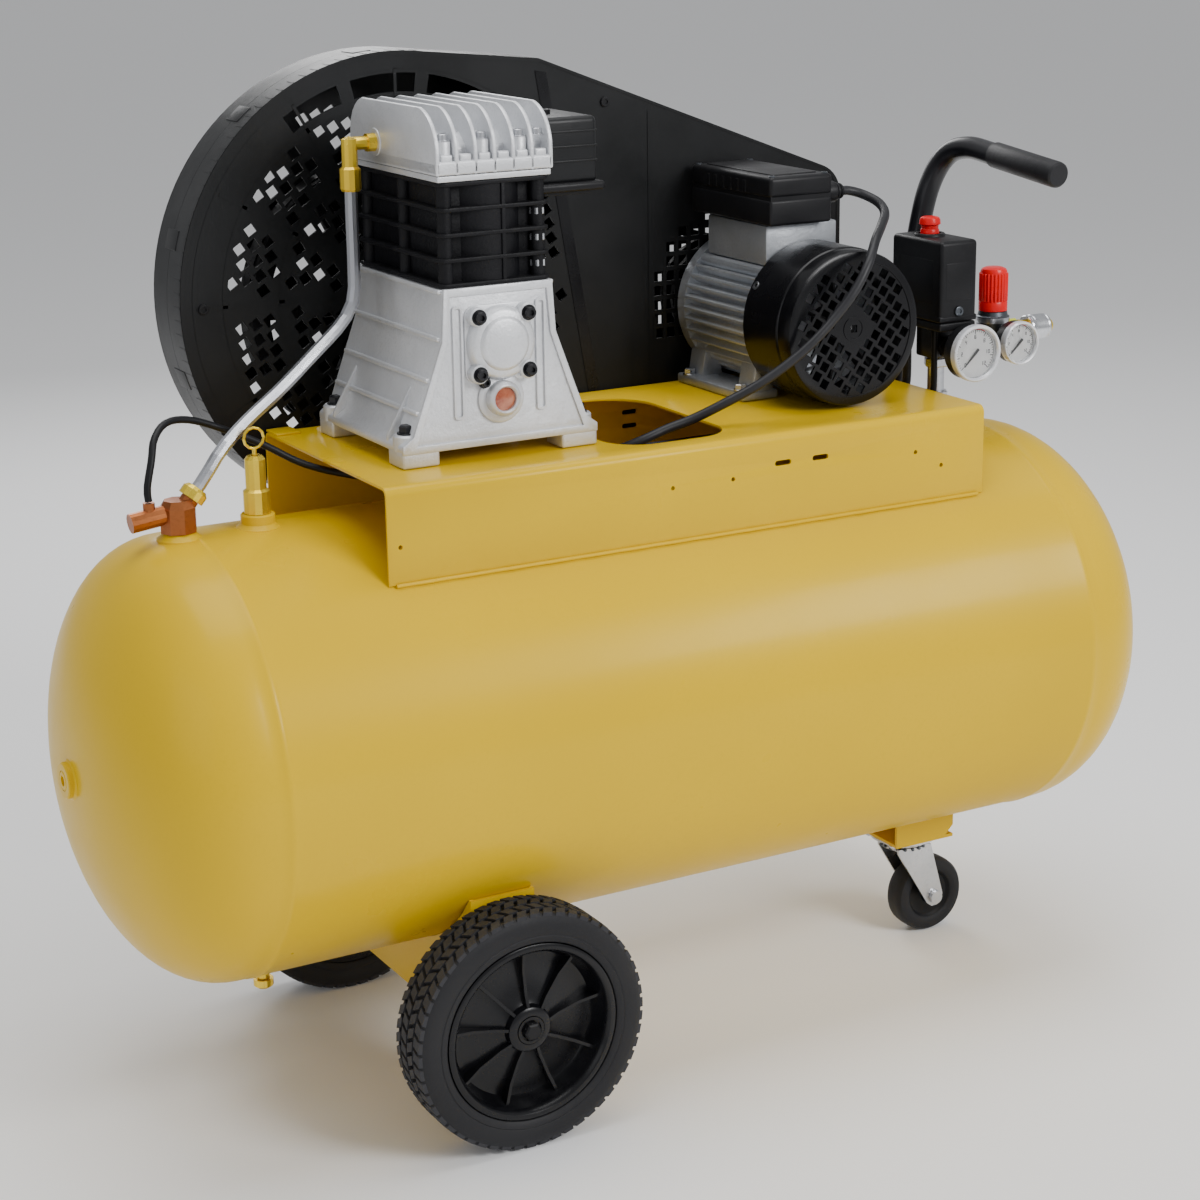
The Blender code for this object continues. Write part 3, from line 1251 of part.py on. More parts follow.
def make_delivery_line():
    z = on_plate(ELBOW_RISE)
    face = PUMP_X - HEAD_HALF
    turn_x = PIPE_KNOTS[0][0]
    bottom = on_top(PIPE_KNOTS[0][2]) + GAP
    elbow = rod("delivery_elbow", "X", (turn_x - 0.004, ELBOW_Y, z), face + 0.010 - turn_x + 0.004, 0.0055, 12)
    drop = turned(
        "elbow_drop",
        [(0, z + 0.0062), (0.0066, z + 0.004), (0.0066, bottom + 0.020), (0.0088, bottom + 0.018), (0.0088, bottom + 0.002),
         (0.0076, bottom), (0, bottom)],
        "Z", (turn_x, ELBOW_Y, 0), 12,
    )
    collar = rod("elbow_collar", "X", (face - 0.008, ELBOW_Y, z), 0.008 - GAP, 0.0075, 10)
    dressed(join(elbow, drop, collar), "brass")
    pipe = tube("delivery_pipe", smooth_route(raised(PIPE_KNOTS), 0.013), PIPE_RADIUS, 3)
    dressed(pipe, "cast_aluminium")

    foot = on_top(0.1895 + GAP)
    valve = turned(
        "check_valve",
        [(0, foot + 0.026), (0.0110, foot + 0.026), (0.0150, foot + 0.020), (0.0150, foot), (STEM_RADIUS, foot),
         (STEM_RADIUS, foot - STEM_LENGTH), (0, foot - STEM_LENGTH)],
        "Z", (CHECK_X, 0, 0), 8,
    )
    nut_at = NUT_PLACE + Vector((0, 0, on_top(0)))
    stub = rod("pipe_stub", NUT_AXIS, nut_at - NUT_AXIS * 0.018, 0.018 - GAP, 0.0075, 12)
    side = rod("side_plug", Vector((-1, 0, -0.12)).normalized(), (CHECK_X, 0, on_top(0.206)), 0.040, 0.0080, 14)
    port = rod("relief_port", "Z", (RELIEF_KNOTS[0][0], 0, on_top(0.2040)), 0.0122, 0.0048, 12)
    dressed(join(valve, stub, side, port), "brass")
    nut = turned(
        "check_valve_nut",
        [(PIPE_RADIUS + 0.0009, 0.010), (0.0080, 0.010), (0.0108, 0.007), (0.0108, 0.0), (PIPE_RADIUS + 0.0009, 0.0)],
        "Z", nut_at, 14, ring=True,
    )
    nut.rotation_euler = Vector((0, 0, 1)).rotation_difference(NUT_AXIS).to_euler()
    dressed(nut, "brass")


def make_safety_valve():
    foot = on_top(BOSS_TOP + GAP)
    body = turned(
        "safety_valve_body",
        [(0, foot + 0.030), (0.0026, foot + 0.030), (0.0026, foot + 0.047), (0.0060, foot + 0.047), (0.0085, foot + 0.044),
         (0.0085, foot + 0.020), (0.0110, foot + 0.018), (0.0110, foot), (STEM_RADIUS, foot),
         (STEM_RADIUS, foot - STEM_LENGTH), (0, foot - STEM_LENGTH)],
        "Z", (SAFETY_X, 0, 0), 12,
    )
    dressed(body, "brass")
    pin = rod("safety_valve_ring", "Z", (SAFETY_X, 0, foot + 0.033), 0.020, 0.0018, 10)
    loop = arc((0, 0), 0.0085, 0, 330, 12)
    ring_z = foot + 0.053 + 0.0080
    ring = tube("pull_ring", [(SAFETY_X + a, 0, ring_z + b) for a, b in loop], 0.0012, 1)
    ring.data.splines[0].use_cyclic_u = True
    bpy.context.view_layer.update()
    dressed(join(pin, as_mesh(ring)), "steel")


def make_drain_valve():
    top = on_axis(-TANK_RADIUS - 0.006 - GAP)
    body = turned(
        "drain_valve_body",
        [(0, top + STEM_LENGTH), (STEM_RADIUS, top + STEM_LENGTH), (STEM_RADIUS, top), (0.0095, top), (0.0095, top - 0.010),
         (0.0055, top - 0.012), (0.0055, top - 0.016), (0, top - 0.016)],
        "Z", (DRAIN_X, 0, 0), 12,
    )
    dressed(body, "brass")
    under = top - 0.016 - RUN
    knob = turned(
        "drain_valve_knob",
        [(0, under), (0.0085, under), (0.0085, under - 0.006), (0.0060, under - 0.008), (0, under - 0.008)],
        "Z", (DRAIN_X, 0, 0), 16,
    )
    dressed(knob, "brass")


def make_cords():
    relief = tube("relief_tube", smooth_route(raised(RELIEF_KNOTS), 0.0180), RELIEF_RADIUS, 2)
    dressed(relief, "black_plastic")
    cable = tube("motor_cable", smooth_route(raised(CABLE_KNOTS), 0.0210), CABLE_RADIUS, 2)
    dressed(cable, "rubber")


# ---------------------------------------------------------------- handle
HANDLE_KNOTS = [
    HANDLE_FOOT + HANDLE_LEAN * 0.0005,
    HANDLE_FOOT + HANDLE_LEAN * 0.100,
    HANDLE_FOOT + HANDLE_LEAN * 0.188,
    Vector((0.3725, 0.0520, on_top(0.410))),
    Vector((0.3800, 0.0380, on_top(0.4325))),
    Vector((0.3835, 0.0130, on_top(0.4395))),
    Vector((0.3840, -0.0200, on_top(0.4370))),
    Vector((0.3840, -0.0700, on_top(0.4315))),
    Vector((0.3840, -0.1130, on_top(0.4268))),
]


def make_handle():
    route = smooth_route(HANDLE_KNOTS, 0.020)
    inner = [route[0] - HANDLE_LEAN * 0.01] + route[1:-1] + [route[-1] + (route[-1] - route[-2])]
    outer = tube("handle_tube", route, HANDLE_RADIUS, 2)
    bore = tube("handle_bore", inner, HANDLE_RADIUS - HANDLE_WALL, 1)
    bpy.context.view_layer.update()
    handle = as_mesh(outer)
    bpy.context.view_layer.update()
    cut(handle, as_mesh(bore))
    dressed(handle, "black_paint")
    start, end = HANDLE_KNOTS[6], HANDLE_KNOTS[8]
    along = (end - start).normalized()
    grip_start = start + along * 0.006
    length = (end - grip_start).length + 0.005
    grip = rod("handle_grip", along, grip_start, length, GRIP_RADIUS, 24)
    seat = rod("grip_seat", along, grip_start - along * 0.01, length + 0.01 - 0.0040, HANDLE_RADIUS + 0.0006, 24)
    dressed(cut(grip, seat), "rubber")


make_tank()
make_mounting_plate()
make_axle_bracket()
make_axle()
make_wheel(-1)
make_wheel(1)
make_caster()
make_crankcase()
make_bearing_cover()
make_sight_glass()
make_crankshaft()
make_pistons()
make_cylinder_block()
make_valve_plate()
make_cylinder_head()
make_air_filter()
make_flywheel()
make_motor_pulley()
make_drive_belt()
make_guards()
make_motor_housing()
make_motor_inside()
make_fan_cover()
make_terminal_box()
make_switch()
make_riser()
make_regulator()
make_gauges()
make_coupler()
make_delivery_line()
make_safety_valve()
make_drain_valve()
make_cords()
make_handle()
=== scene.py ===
"""Looks of the wheelbarrow air compressor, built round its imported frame."""

import math

import bmesh
import bpy
from mathutils import Matrix, Vector


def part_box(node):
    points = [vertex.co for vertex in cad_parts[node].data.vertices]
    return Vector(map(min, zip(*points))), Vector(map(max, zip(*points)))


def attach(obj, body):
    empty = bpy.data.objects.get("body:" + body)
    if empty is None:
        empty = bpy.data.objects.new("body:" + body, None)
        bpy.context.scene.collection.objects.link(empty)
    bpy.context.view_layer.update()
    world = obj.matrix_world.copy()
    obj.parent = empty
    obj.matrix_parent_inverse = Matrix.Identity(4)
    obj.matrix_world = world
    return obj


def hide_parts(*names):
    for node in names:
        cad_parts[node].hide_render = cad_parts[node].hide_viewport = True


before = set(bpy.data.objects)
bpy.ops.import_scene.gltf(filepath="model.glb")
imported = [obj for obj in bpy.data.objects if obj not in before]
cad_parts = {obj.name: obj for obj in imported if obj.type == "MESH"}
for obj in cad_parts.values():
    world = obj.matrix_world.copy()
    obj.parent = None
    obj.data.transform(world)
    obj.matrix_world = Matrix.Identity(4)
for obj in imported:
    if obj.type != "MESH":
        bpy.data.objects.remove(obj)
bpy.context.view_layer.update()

# ---------------------------------------------------------------- sizes, in metres
AXIS_HEIGHT = 0.316
PLATE_TOP = AXIS_HEIGHT + 0.2295
TANK_LENGTH, TANK_RADIUS, HEAD_DEPTH = 1.0035, 0.185, 0.103
PUMP_X, MOTOR_X = -0.14, 0.208
CRANK_Z = PLATE_TOP + 0.0955
MOTOR_Z = PLATE_TOP + 0.071
MOTOR_RISE = MOTOR_Z - AXIS_HEIGHT
GUARD_RADIUS, GUARD_FRONT, GUARD_BACK = 0.2045, 0.1415, 0.2045
BELT_Y = 0.174
WHEEL_X, WHEEL_RADIUS, WHEEL_HALF, TYRE_WIDTH = -0.196, 0.1035, 0.2045, 0.048
CASTER_X = 0.316
SWITCH_X, RISER_X, REGULATOR_X = 0.3345, 0.342, 0.406
GAUGE_RISE, OUTLET_RISE = 0.265, 0.269


def axis_z(height):
    return AXIS_HEIGHT + height


def plate_z(height):
    return PLATE_TOP + height


# ---------------------------------------------------------------- camera
def place_camera():
    back = Vector((-0.46642, -0.83894, 0.2804)).normalized()
    turn, roll = math.radians(-29.0724), math.radians(-0.8238)
    level = Vector((math.cos(turn), math.sin(turn), 0.0))
    rise = back.cross(level)
    across = math.cos(roll) * level + math.sin(roll) * rise
    up = -math.sin(roll) * level + math.cos(roll) * rise
    data = bpy.data.cameras.new("studio_camera")
    data.lens, data.sensor_width, data.clip_start = 76.08, 36.0, 0.05
    camera = bpy.data.objects.new("studio_camera", data)
    bpy.context.scene.collection.objects.link(camera)
    stance = Matrix((across, up, back)).transposed().to_4x4()
    camera.matrix_world = Matrix.Translation((-1.05368, -1.8654, 1.0133)) @ stance
    bpy.context.scene.camera = camera


place_camera()


# ---------------------------------------------------------------- shader groups
def new_group(name, inputs, outputs):
    tree = bpy.data.node_groups.new(name, "ShaderNodeTree")
    for label, kind, value in inputs:
        socket = tree.interface.new_socket(label, in_out="INPUT", socket_type=kind)
        socket.default_value = value
    for label, kind in outputs:
        tree.interface.new_socket(label, in_out="OUTPUT", socket_type=kind)
    return tree, tree.nodes.new("NodeGroupInput"), tree.nodes.new("NodeGroupOutput")


def noise(tree, source, scale, detail=4.0, roughness=0.5):
    where = tree.nodes.new("ShaderNodeTexCoord")
    texture = tree.nodes.new("ShaderNodeTexNoise")
    texture.inputs["Detail"].default_value = detail
    texture.inputs["Roughness"].default_value = roughness
    tree.links.new(where.outputs["Object"], texture.inputs["Vector"])
    if isinstance(scale, str):
        tree.links.new(source.outputs[scale], texture.inputs["Scale"])
    else:
        texture.inputs["Scale"].default_value = scale
    return texture.outputs["Fac"]


def feed(tree, socket, value):
    """Links a socket given as the value, and sets any other value."""
    if isinstance(value, bpy.types.NodeSocket):
        tree.links.new(value, socket)
    else:
        socket.default_value = value


def mixed(tree, factor, first, second):
    mix = tree.nodes.new("ShaderNodeMix")
    mix.data_type = "RGBA"
    for slot, value in ((0, factor), (6, first), (7, second)):
        feed(tree, mix.inputs[slot], value)
    return mix.outputs[2]


def ranged(tree, value, low, high, to_low, to_high):
    node = tree.nodes.new("ShaderNodeMapRange")
    for label, number in (("From Min", low), ("From Max", high), ("To Min", to_low), ("To Max", to_high)):
        feed(tree, node.inputs[label], number)
    tree.links.new(value, node.inputs["Value"])
    return node.outputs["Result"]


def times(tree, a, b):
    node = tree.nodes.new("ShaderNodeMath")
    node.operation = "MULTIPLY"
    for socket, value in zip(node.inputs, (a, b)):
        feed(tree, socket, value)
    return node.outputs[0]


def make_mottle():
    """Two close shades of one colour in soft patches, with finer flecks inside them."""
    tree, given, out = new_group(
        "mottle",
        [("Shade", "NodeSocketColor", (0.5, 0.5, 0.5, 1)), ("Other Shade", "NodeSocketColor", (0.4, 0.4, 0.4, 1)),
         ("Patch Scale", "NodeSocketFloat", 12.0), ("Fleck Scale", "NodeSocketFloat", 300.0)],
        [("Colour", "NodeSocketColor")],
    )
    patches = ranged(tree, noise(tree, given, "Patch Scale", 3.0), 0.35, 0.65, 0.0, 1.0)
    flecks = ranged(tree, noise(tree, given, "Fleck Scale", 2.0), 0.5, 0.8, 0.0, 0.7)
    soft = mixed(tree, patches, given.outputs["Shade"], given.outputs["Other Shade"])
    tree.links.new(mixed(tree, flecks, soft, given.outputs["Other Shade"]), out.inputs["Colour"])
    return tree


def make_grain():
    """Height of a fine, even grain: cast skin, moulded plastic or the orange peel of sprayed enamel."""
    tree, given, out = new_group(
        "grain",
        [("Grain Scale", "NodeSocketFloat", 400.0), ("Wave Scale", "NodeSocketFloat", 40.0)],
        [("Height", "NodeSocketFloat")],
    )
    fine = noise(tree, given, "Grain Scale", 5.0, 0.6)
    broad = noise(tree, given, "Wave Scale", 2.0)
    add = tree.nodes.new("ShaderNodeMath")
    add.operation = "ADD"
    tree.links.new(fine, add.inputs[0])
    tree.links.new(times(tree, broad, 1.5), add.inputs[1])
    tree.links.new(add.outputs[0], out.inputs["Height"])
    return tree


def make_polish():
    """Roughness that wanders between two values, as handled and wiped surfaces do."""
    tree, given, out = new_group(
        "polish",
        [("Smooth", "NodeSocketFloat", 0.3), ("Rough", "NodeSocketFloat", 0.5),
         ("Patch Scale", "NodeSocketFloat", 25.0)],
        [("Roughness", "NodeSocketFloat")],
    )
    patches = noise(tree, given, "Patch Scale", 4.0, 0.6)
    tree.links.new(
        ranged(tree, patches, 0.3, 0.7, given.outputs["Smooth"], given.outputs["Rough"]), out.inputs["Roughness"]
    )
    return tree


def make_dust():
    """Pale dust on faces that look up, broken up by noise."""
    tree, given, out = new_group(
        "settled_dust",
        [("Colour", "NodeSocketColor", (0.5, 0.5, 0.5, 1)), ("Dust", "NodeSocketColor", (0.3, 0.3, 0.29, 1)),
         ("Amount", "NodeSocketFloat", 0.2)],
        [("Colour", "NodeSocketColor")],
    )
    facing = tree.nodes.new("ShaderNodeNewGeometry")
    split = tree.nodes.new("ShaderNodeSeparateXYZ")
    tree.links.new(facing.outputs["Normal"], split.inputs[0])
    upward = ranged(tree, split.outputs["Z"], 0.2, 0.95, 0.0, 1.0)
    broken = ranged(tree, noise(tree, given, 60.0, 6.0, 0.7), 0.42, 0.68, 0.0, 1.0)
    amount = times(tree, times(tree, upward, broken), given.outputs["Amount"])
    tree.links.new(mixed(tree, amount, given.outputs["Colour"], given.outputs["Dust"]), out.inputs["Colour"])
    return tree


MOTTLE, GRAIN, POLISH, DUST = make_mottle(), make_grain(), make_polish(), make_dust()


def placed(tree, group, **values):
    node = tree.nodes.new("ShaderNodeGroup")
    node.node_tree = group
    for label, value in values.items():
        node.inputs[label.replace("_", " ")].default_value = value
    return node


def finish_of(name, colour, other, smooth, rough, metallic=0.0, patch=12.0, fleck=300.0, grain=500.0, wave=40.0,
              bump=0.15, depth=0.0006, dust=0.0, coat=0.0, coat_rough=0.1, specular=0.5):
    """A material from the four shared effects, each with this finish's own values."""
    material = bpy.data.materials.new(name)
    material.use_nodes = True
    tree = material.node_tree
    shader = tree.nodes["Principled BSDF"]
    shader.inputs["Metallic"].default_value = metallic
    shader.inputs["Specular IOR Level"].default_value = specular
    shader.inputs["Coat Weight"].default_value = coat
    shader.inputs["Coat Roughness"].default_value = coat_rough
    tint = placed(tree, MOTTLE, Shade=(*colour, 1), Other_Shade=(*other, 1), Patch_Scale=patch, Fleck_Scale=fleck)
    last = tint.outputs["Colour"]
    if dust:
        dusty = placed(tree, DUST, Amount=dust)
        tree.links.new(last, dusty.inputs["Colour"])
        last = dusty.outputs["Colour"]
    tree.links.new(last, shader.inputs["Base Color"])
    polish = placed(tree, POLISH, Smooth=smooth, Rough=rough, Patch_Scale=patch * 2)
    tree.links.new(polish.outputs["Roughness"], shader.inputs["Roughness"])
    height = placed(tree, GRAIN, Grain_Scale=grain, Wave_Scale=wave)
    relief = tree.nodes.new("ShaderNodeBump")
    relief.inputs["Strength"].default_value = bump
    relief.inputs["Distance"].default_value = depth
    tree.links.new(height.outputs["Height"], relief.inputs["Height"])
    tree.links.new(relief.outputs["Normal"], shader.inputs["Normal"])
    return material


YELLOW = finish_of("yellow_enamel", (0.72, 0.46, 0.0), (0.68, 0.432, 0.0), 0.26, 0.36, patch=5, fleck=260,
                   grain=700, wave=120, bump=0.05, depth=0.0004, coat=0.05, coat_rough=0.12, specular=0.16)
BLACK = finish_of("black_moulding", (0.0045, 0.0045, 0.0055), (0.008, 0.008, 0.0095), 0.36, 0.52, grain=900,
                  wave=60, bump=0.22, depth=0.0004, dust=0.03, specular=0.25)
GLOSS_BLACK = finish_of("gloss_black_moulding", (0.0035, 0.0035, 0.0045), (0.006, 0.006, 0.0075), 0.2, 0.32,
                        grain=600, wave=30, bump=0.05, depth=0.0003, dust=0.02, specular=0.3)
GUARD_BLACK = finish_of("guard_moulding", (0.005, 0.0055, 0.006), (0.009, 0.0095, 0.0105), 0.32, 0.46, patch=7,
                        grain=1100, wave=50, bump=0.25, depth=0.0004, dust=0.03, specular=0.28)
BLACK_PAINT = finish_of("satin_black_paint", (0.006, 0.006, 0.008), (0.01, 0.01, 0.013), 0.26, 0.38, grain=500,
                        wave=80, bump=0.06, depth=0.0004, coat=0.1, specular=0.35)
BLACK_IRON = finish_of("black_painted_iron", (0.0035, 0.0035, 0.0045), (0.007, 0.007, 0.009), 0.42, 0.58, grain=420,
                       wave=90, bump=0.5, depth=0.0008, dust=0.04, specular=0.2)
SILVER_CAST = finish_of("cast_aluminium", (0.8, 0.81, 0.83), (0.62, 0.63, 0.65), 0.38, 0.55, metallic=0.6,
                        fleck=420, grain=520, wave=120, bump=0.4, depth=0.0007)
MOTOR_CAST = finish_of("motor_aluminium", (0.58, 0.6, 0.63), (0.4, 0.42, 0.45), 0.34, 0.52, metallic=0.7,
                       fleck=380, grain=480, wave=100, bump=0.35, depth=0.0007)
TURNED_STEEL = finish_of("zinc_plated_steel", (0.66, 0.67, 0.69), (0.5, 0.51, 0.54), 0.22, 0.38, metallic=1.0,
                         grain=900, wave=60, bump=0.1, depth=0.0003)
DARK_STEEL = finish_of("dark_steel", (0.14, 0.15, 0.17), (0.08, 0.09, 0.1), 0.28, 0.45, metallic=0.9, grain=800,
                       wave=60, bump=0.12, depth=0.0003)
PIPE_ALLOY = finish_of("drawn_aluminium", (0.56, 0.57, 0.6), (0.44, 0.45, 0.48), 0.24, 0.36, metallic=0.9,
                       grain=900, wave=30, bump=0.08, depth=0.0003)
YELLOW_BRASS = finish_of("yellow_brass", (0.92, 0.68, 0.06), (0.8, 0.54, 0.04), 0.22, 0.36, metallic=0.8,
                         grain=800, wave=60, bump=0.1, depth=0.0003)
RED_BRASS = finish_of("red_brass", (0.42, 0.14, 0.045), (0.28, 0.09, 0.03), 0.28, 0.46, metallic=0.88, grain=700,
                      wave=90, bump=0.2, depth=0.0004)
TYRE = finish_of("tyre_rubber", (0.009, 0.009, 0.011), (0.016, 0.016, 0.018), 0.5, 0.68, fleck=500, grain=900,
                 wave=120, bump=0.35, depth=0.0005, dust=0.06, specular=0.3)
TREAD = finish_of("tread_rubber", (0.02, 0.02, 0.024), (0.034, 0.034, 0.038), 0.55, 0.75, fleck=500, grain=900,
                  wave=120, bump=0.4, depth=0.0006, dust=0.06, specular=0.35)
GRIP = finish_of("grip_rubber", (0.008, 0.008, 0.01), (0.014, 0.014, 0.016), 0.42, 0.55, grain=1200, wave=200,
                 bump=0.35, depth=0.0005, specular=0.3)
CABLE = finish_of("cable_sheath", (0.01, 0.01, 0.012), (0.016, 0.016, 0.019), 0.38, 0.5, grain=1000, wave=150,
                  bump=0.15, depth=0.0003, specular=0.35)
RED = finish_of("red_moulding", (0.8, 0.003, 0.006), (0.68, 0.002, 0.005), 0.24, 0.36, grain=700, wave=60,
                bump=0.06, depth=0.0003, specular=0.3)
DIAL = finish_of("dial_enamel", (0.84, 0.84, 0.83), (0.8, 0.8, 0.79), 0.35, 0.45, grain=900, wave=30, bump=0.03)
BEZEL = finish_of("gauge_bezel", (0.8, 0.81, 0.84), (0.72, 0.73, 0.76), 0.2, 0.3, metallic=0.35, grain=900,
                  wave=30, bump=0.05)
INK = finish_of("printing_ink", (0.008, 0.008, 0.01), (0.02, 0.02, 0.02), 0.4, 0.5, bump=0.05)
LIME = finish_of("lime_plastic", (0.62, 0.66, 0.04), (0.55, 0.6, 0.03), 0.3, 0.42, grain=700, bump=0.08)
WINDOW = finish_of("oil_window", (0.3, 0.045, 0.015), (0.5, 0.17, 0.08), 0.08, 0.16, patch=90, grain=400,
                   bump=0.04, coat=0.6)


def make_lens():
    material = bpy.data.materials.new("clear_lens")
    material.use_nodes = True
    tree = material.node_tree
    shader = tree.nodes["Principled BSDF"]
    shader.inputs["Base Color"].default_value = (1, 1, 1, 1)
    shader.inputs["Transmission Weight"].default_value = 1.0
    shader.inputs["IOR"].default_value = 1.45
    polish = placed(tree, POLISH, Smooth=0.01, Rough=0.04, Patch_Scale=60.0)
    tree.links.new(polish.outputs["Roughness"], shader.inputs["Roughness"])
    return material


LENS = make_lens()

# ---------------------------------------------------------------- shape helpers
TURN = {
    "X": Matrix.Rotation(math.radians(90), 4, "Y"),
    "Y": Matrix.Rotation(math.radians(-90), 4, "X"),
    "Z": Matrix.Identity(4),
}


def mm(*rows):
    """Sizes given in millimetres, as metres."""
    return [tuple(size / 1000 for size in row) for row in rows]


def leaning(axis):
    if isinstance(axis, str):
        return TURN[axis]
    return Vector((0, 0, 1)).rotation_difference(Vector(axis)).to_matrix().to_4x4()


def add(name, data):
    made = bpy.data.objects.new(name, data)
    bpy.context.scene.collection.objects.link(made)
    return made


def from_bmesh(name, shape, angle=35):
    mesh = bpy.data.meshes.new(name)
    shape.to_mesh(mesh)
    shape.free()
    mesh.shade_smooth()
    mesh.set_sharp_from_angle(angle=math.radians(angle))
    return add(name, mesh)


def settle(made, angle=35):
    """The object's evaluated shape, in the row frame, as a plain welded mesh with nothing left to apply."""
    bpy.context.view_layer.update()
    name = made.name
    seen = made.evaluated_get(bpy.context.evaluated_depsgraph_get())
    mesh = bpy.data.meshes.new_from_object(seen)
    mesh.transform(made.matrix_world)
    shape = bmesh.new()
    shape.from_mesh(mesh)
    bmesh.ops.remove_doubles(shape, verts=shape.verts, dist=0.00001)
    bpy.data.objects.remove(made, do_unlink=True)
    bpy.data.meshes.remove(mesh)
    return from_bmesh(name, shape, angle)


def gather(name, pieces, angle=35):
    """Several finished shapes as one object."""
    shape = bmesh.new()
    for piece in pieces:
        solid = settle(piece)
        shape.from_mesh(solid.data)
        bpy.data.objects.remove(solid, do_unlink=True)
    return from_bmesh(name, shape, angle)


def carve(target, cutters, operation="DIFFERENCE"):
    for cutter in cutters:
        step = target.modifiers.new("carve", "BOOLEAN")
        step.operation, step.object = operation, cutter
    done = settle(target)
    for cutter in cutters:
        bpy.data.objects.remove(cutter, do_unlink=True)
    return done


def soften(made, width, segments=3, angle=40):
    edge = made.modifiers.new("soft_edges", "BEVEL")
    edge.width, edge.segments, edge.limit_method = width, segments, "ANGLE"
    edge.angle_limit, edge.use_clamp_overlap = math.radians(angle), True
    return settle(made, 50)


def block(name, low, high, soft=0.0, segments=3):
    low, high = Vector(low), Vector(high)
    shape = bmesh.new()
    stance = Matrix.Translation((low + high) / 2) @ Matrix.Diagonal((*(high - low), 1.0))
    bmesh.ops.create_cube(shape, size=1.0, matrix=stance)
    made = from_bmesh(name, shape)
    return soften(made, soft, segments) if soft else made


def turned(name, profile, axis="Z", place=(0, 0, 0), steps=48, ring=False):
    """A profile of (radius, height) turned about an axis; a ring's profile is a closed loop."""
    profile = list(profile)
    closed = profile + [profile[0]]
    if sum(a[0] * b[1] - b[0] * a[1] for a, b in zip(closed, closed[1:])) > 0:
        profile.reverse()
    mesh = bpy.data.meshes.new(name)
    edges = [(i, i + 1) for i in range(len(profile) - 1)]
    if ring:
        edges.append((len(profile) - 1, 0))
    mesh.from_pydata([(r, 0.0, h) for r, h in profile], edges, [])
    made = add(name, mesh)
    made.matrix_world = Matrix.Translation(place) @ leaning(axis)
    screw = made.modifiers.new("turn", "SCREW")
    screw.axis, screw.steps, screw.render_steps = "Z", steps, steps
    screw.use_merge_vertices, screw.merge_threshold = True, 0.00002
    return settle(made)


def rod(name, axis, start, length, radius, sides=32, soft=0.0):
    """A round bar, or a hexagon with six sides, with a small chamfer at both ends."""
    chamfer = soft or min(radius, length) * 0.12
    profile = [(0, length), (radius - chamfer, length), (radius, length - chamfer), (radius, chamfer),
               (radius - chamfer, 0), (0, 0)]
    return turned(name, profile, axis, start, sides)


def bolt(name, axis, seat, size, height=None, washer=True, socket=False):
    """A hexagon or socket head on a washer, its seat at a point and its axis outwards."""
    height = height or size * 0.65
    outward = leaning(axis) @ Vector((0, 0, 1))
    seat = Vector(seat)
    pieces = []
    if washer:
        pieces.append(rod("washer", axis, seat, size * 0.16, size * 1.15, 28))
    top = seat + outward * (size * 0.14 if washer else 0)
    if socket:
        deep, wide = height * 0.5, size * 0.45
        profile = [(0, height - deep), (wide, height - deep), (wide, height), (size * 0.74, height),
                   (size * 0.84, height * 0.88), (size * 0.84, 0), (0, 0)]
        pieces.append(turned("head", profile, axis, top, 24))
    else:
        profile = [(0, height), (size * 0.74, height), (size * 0.95, height * 0.84), (size * 0.95, 0), (0, 0)]
        pieces.append(turned("head", profile, axis, top, 6))
    return gather(name, pieces, 25)


def tube(name, points, radius, resolution=6):
    curve = bpy.data.curves.new(name, "CURVE")
    curve.dimensions, curve.bevel_depth, curve.bevel_resolution = "3D", radius, resolution
    curve.use_fill_caps = True
    spline = curve.splines.new("POLY")
    spline.points.add(len(points) - 1)
    for point, where in zip(spline.points, points):
        point.co = (*where, 1.0)
    return add(name, curve)


def flat(name, outlines, plane, start, thickness, soft=0.0):
    """A flat outline with holes in plane XZ, YZ or XY, made thick along the third axis."""
    curve = bpy.data.curves.new(name, "CURVE")
    curve.dimensions, curve.fill_mode = "2D", "BOTH"
    curve.extrude = thickness / 2
    for outline in outlines:
        spline = curve.splines.new("POLY")
        spline.points.add(len(outline) - 1)
        for point, where in zip(spline.points, outline):
            point.co = (where[0], where[1], 0.0, 1.0)
        spline.use_cyclic_u = True
    made = add(name, curve)
    middle = start + thickness / 2
    if plane == "XZ":
        made.rotation_euler, made.location = (math.radians(90), 0, 0), (0, middle, 0)
    elif plane == "YZ":
        made.rotation_euler, made.location = (math.radians(90), 0, math.radians(90)), (middle, 0, 0)
    else:
        made.location = (0, 0, middle)
    made = settle(made, 30)
    if soft:
        shape = bmesh.new()
        shape.from_mesh(made.data)
        bmesh.ops.dissolve_limit(shape, angle_limit=0.02, verts=shape.verts, edges=shape.edges)
        shape.to_mesh(made.data)
        shape.free()
        made = soften(made, soft, 2)
    return made


def arc(centre, radius, start, end, count):
    turns = [math.radians(start + (end - start) * i / (count - 1)) for i in range(count)]
    return [(centre[0] + radius * math.cos(t), centre[1] + radius * math.sin(t)) for t in turns]


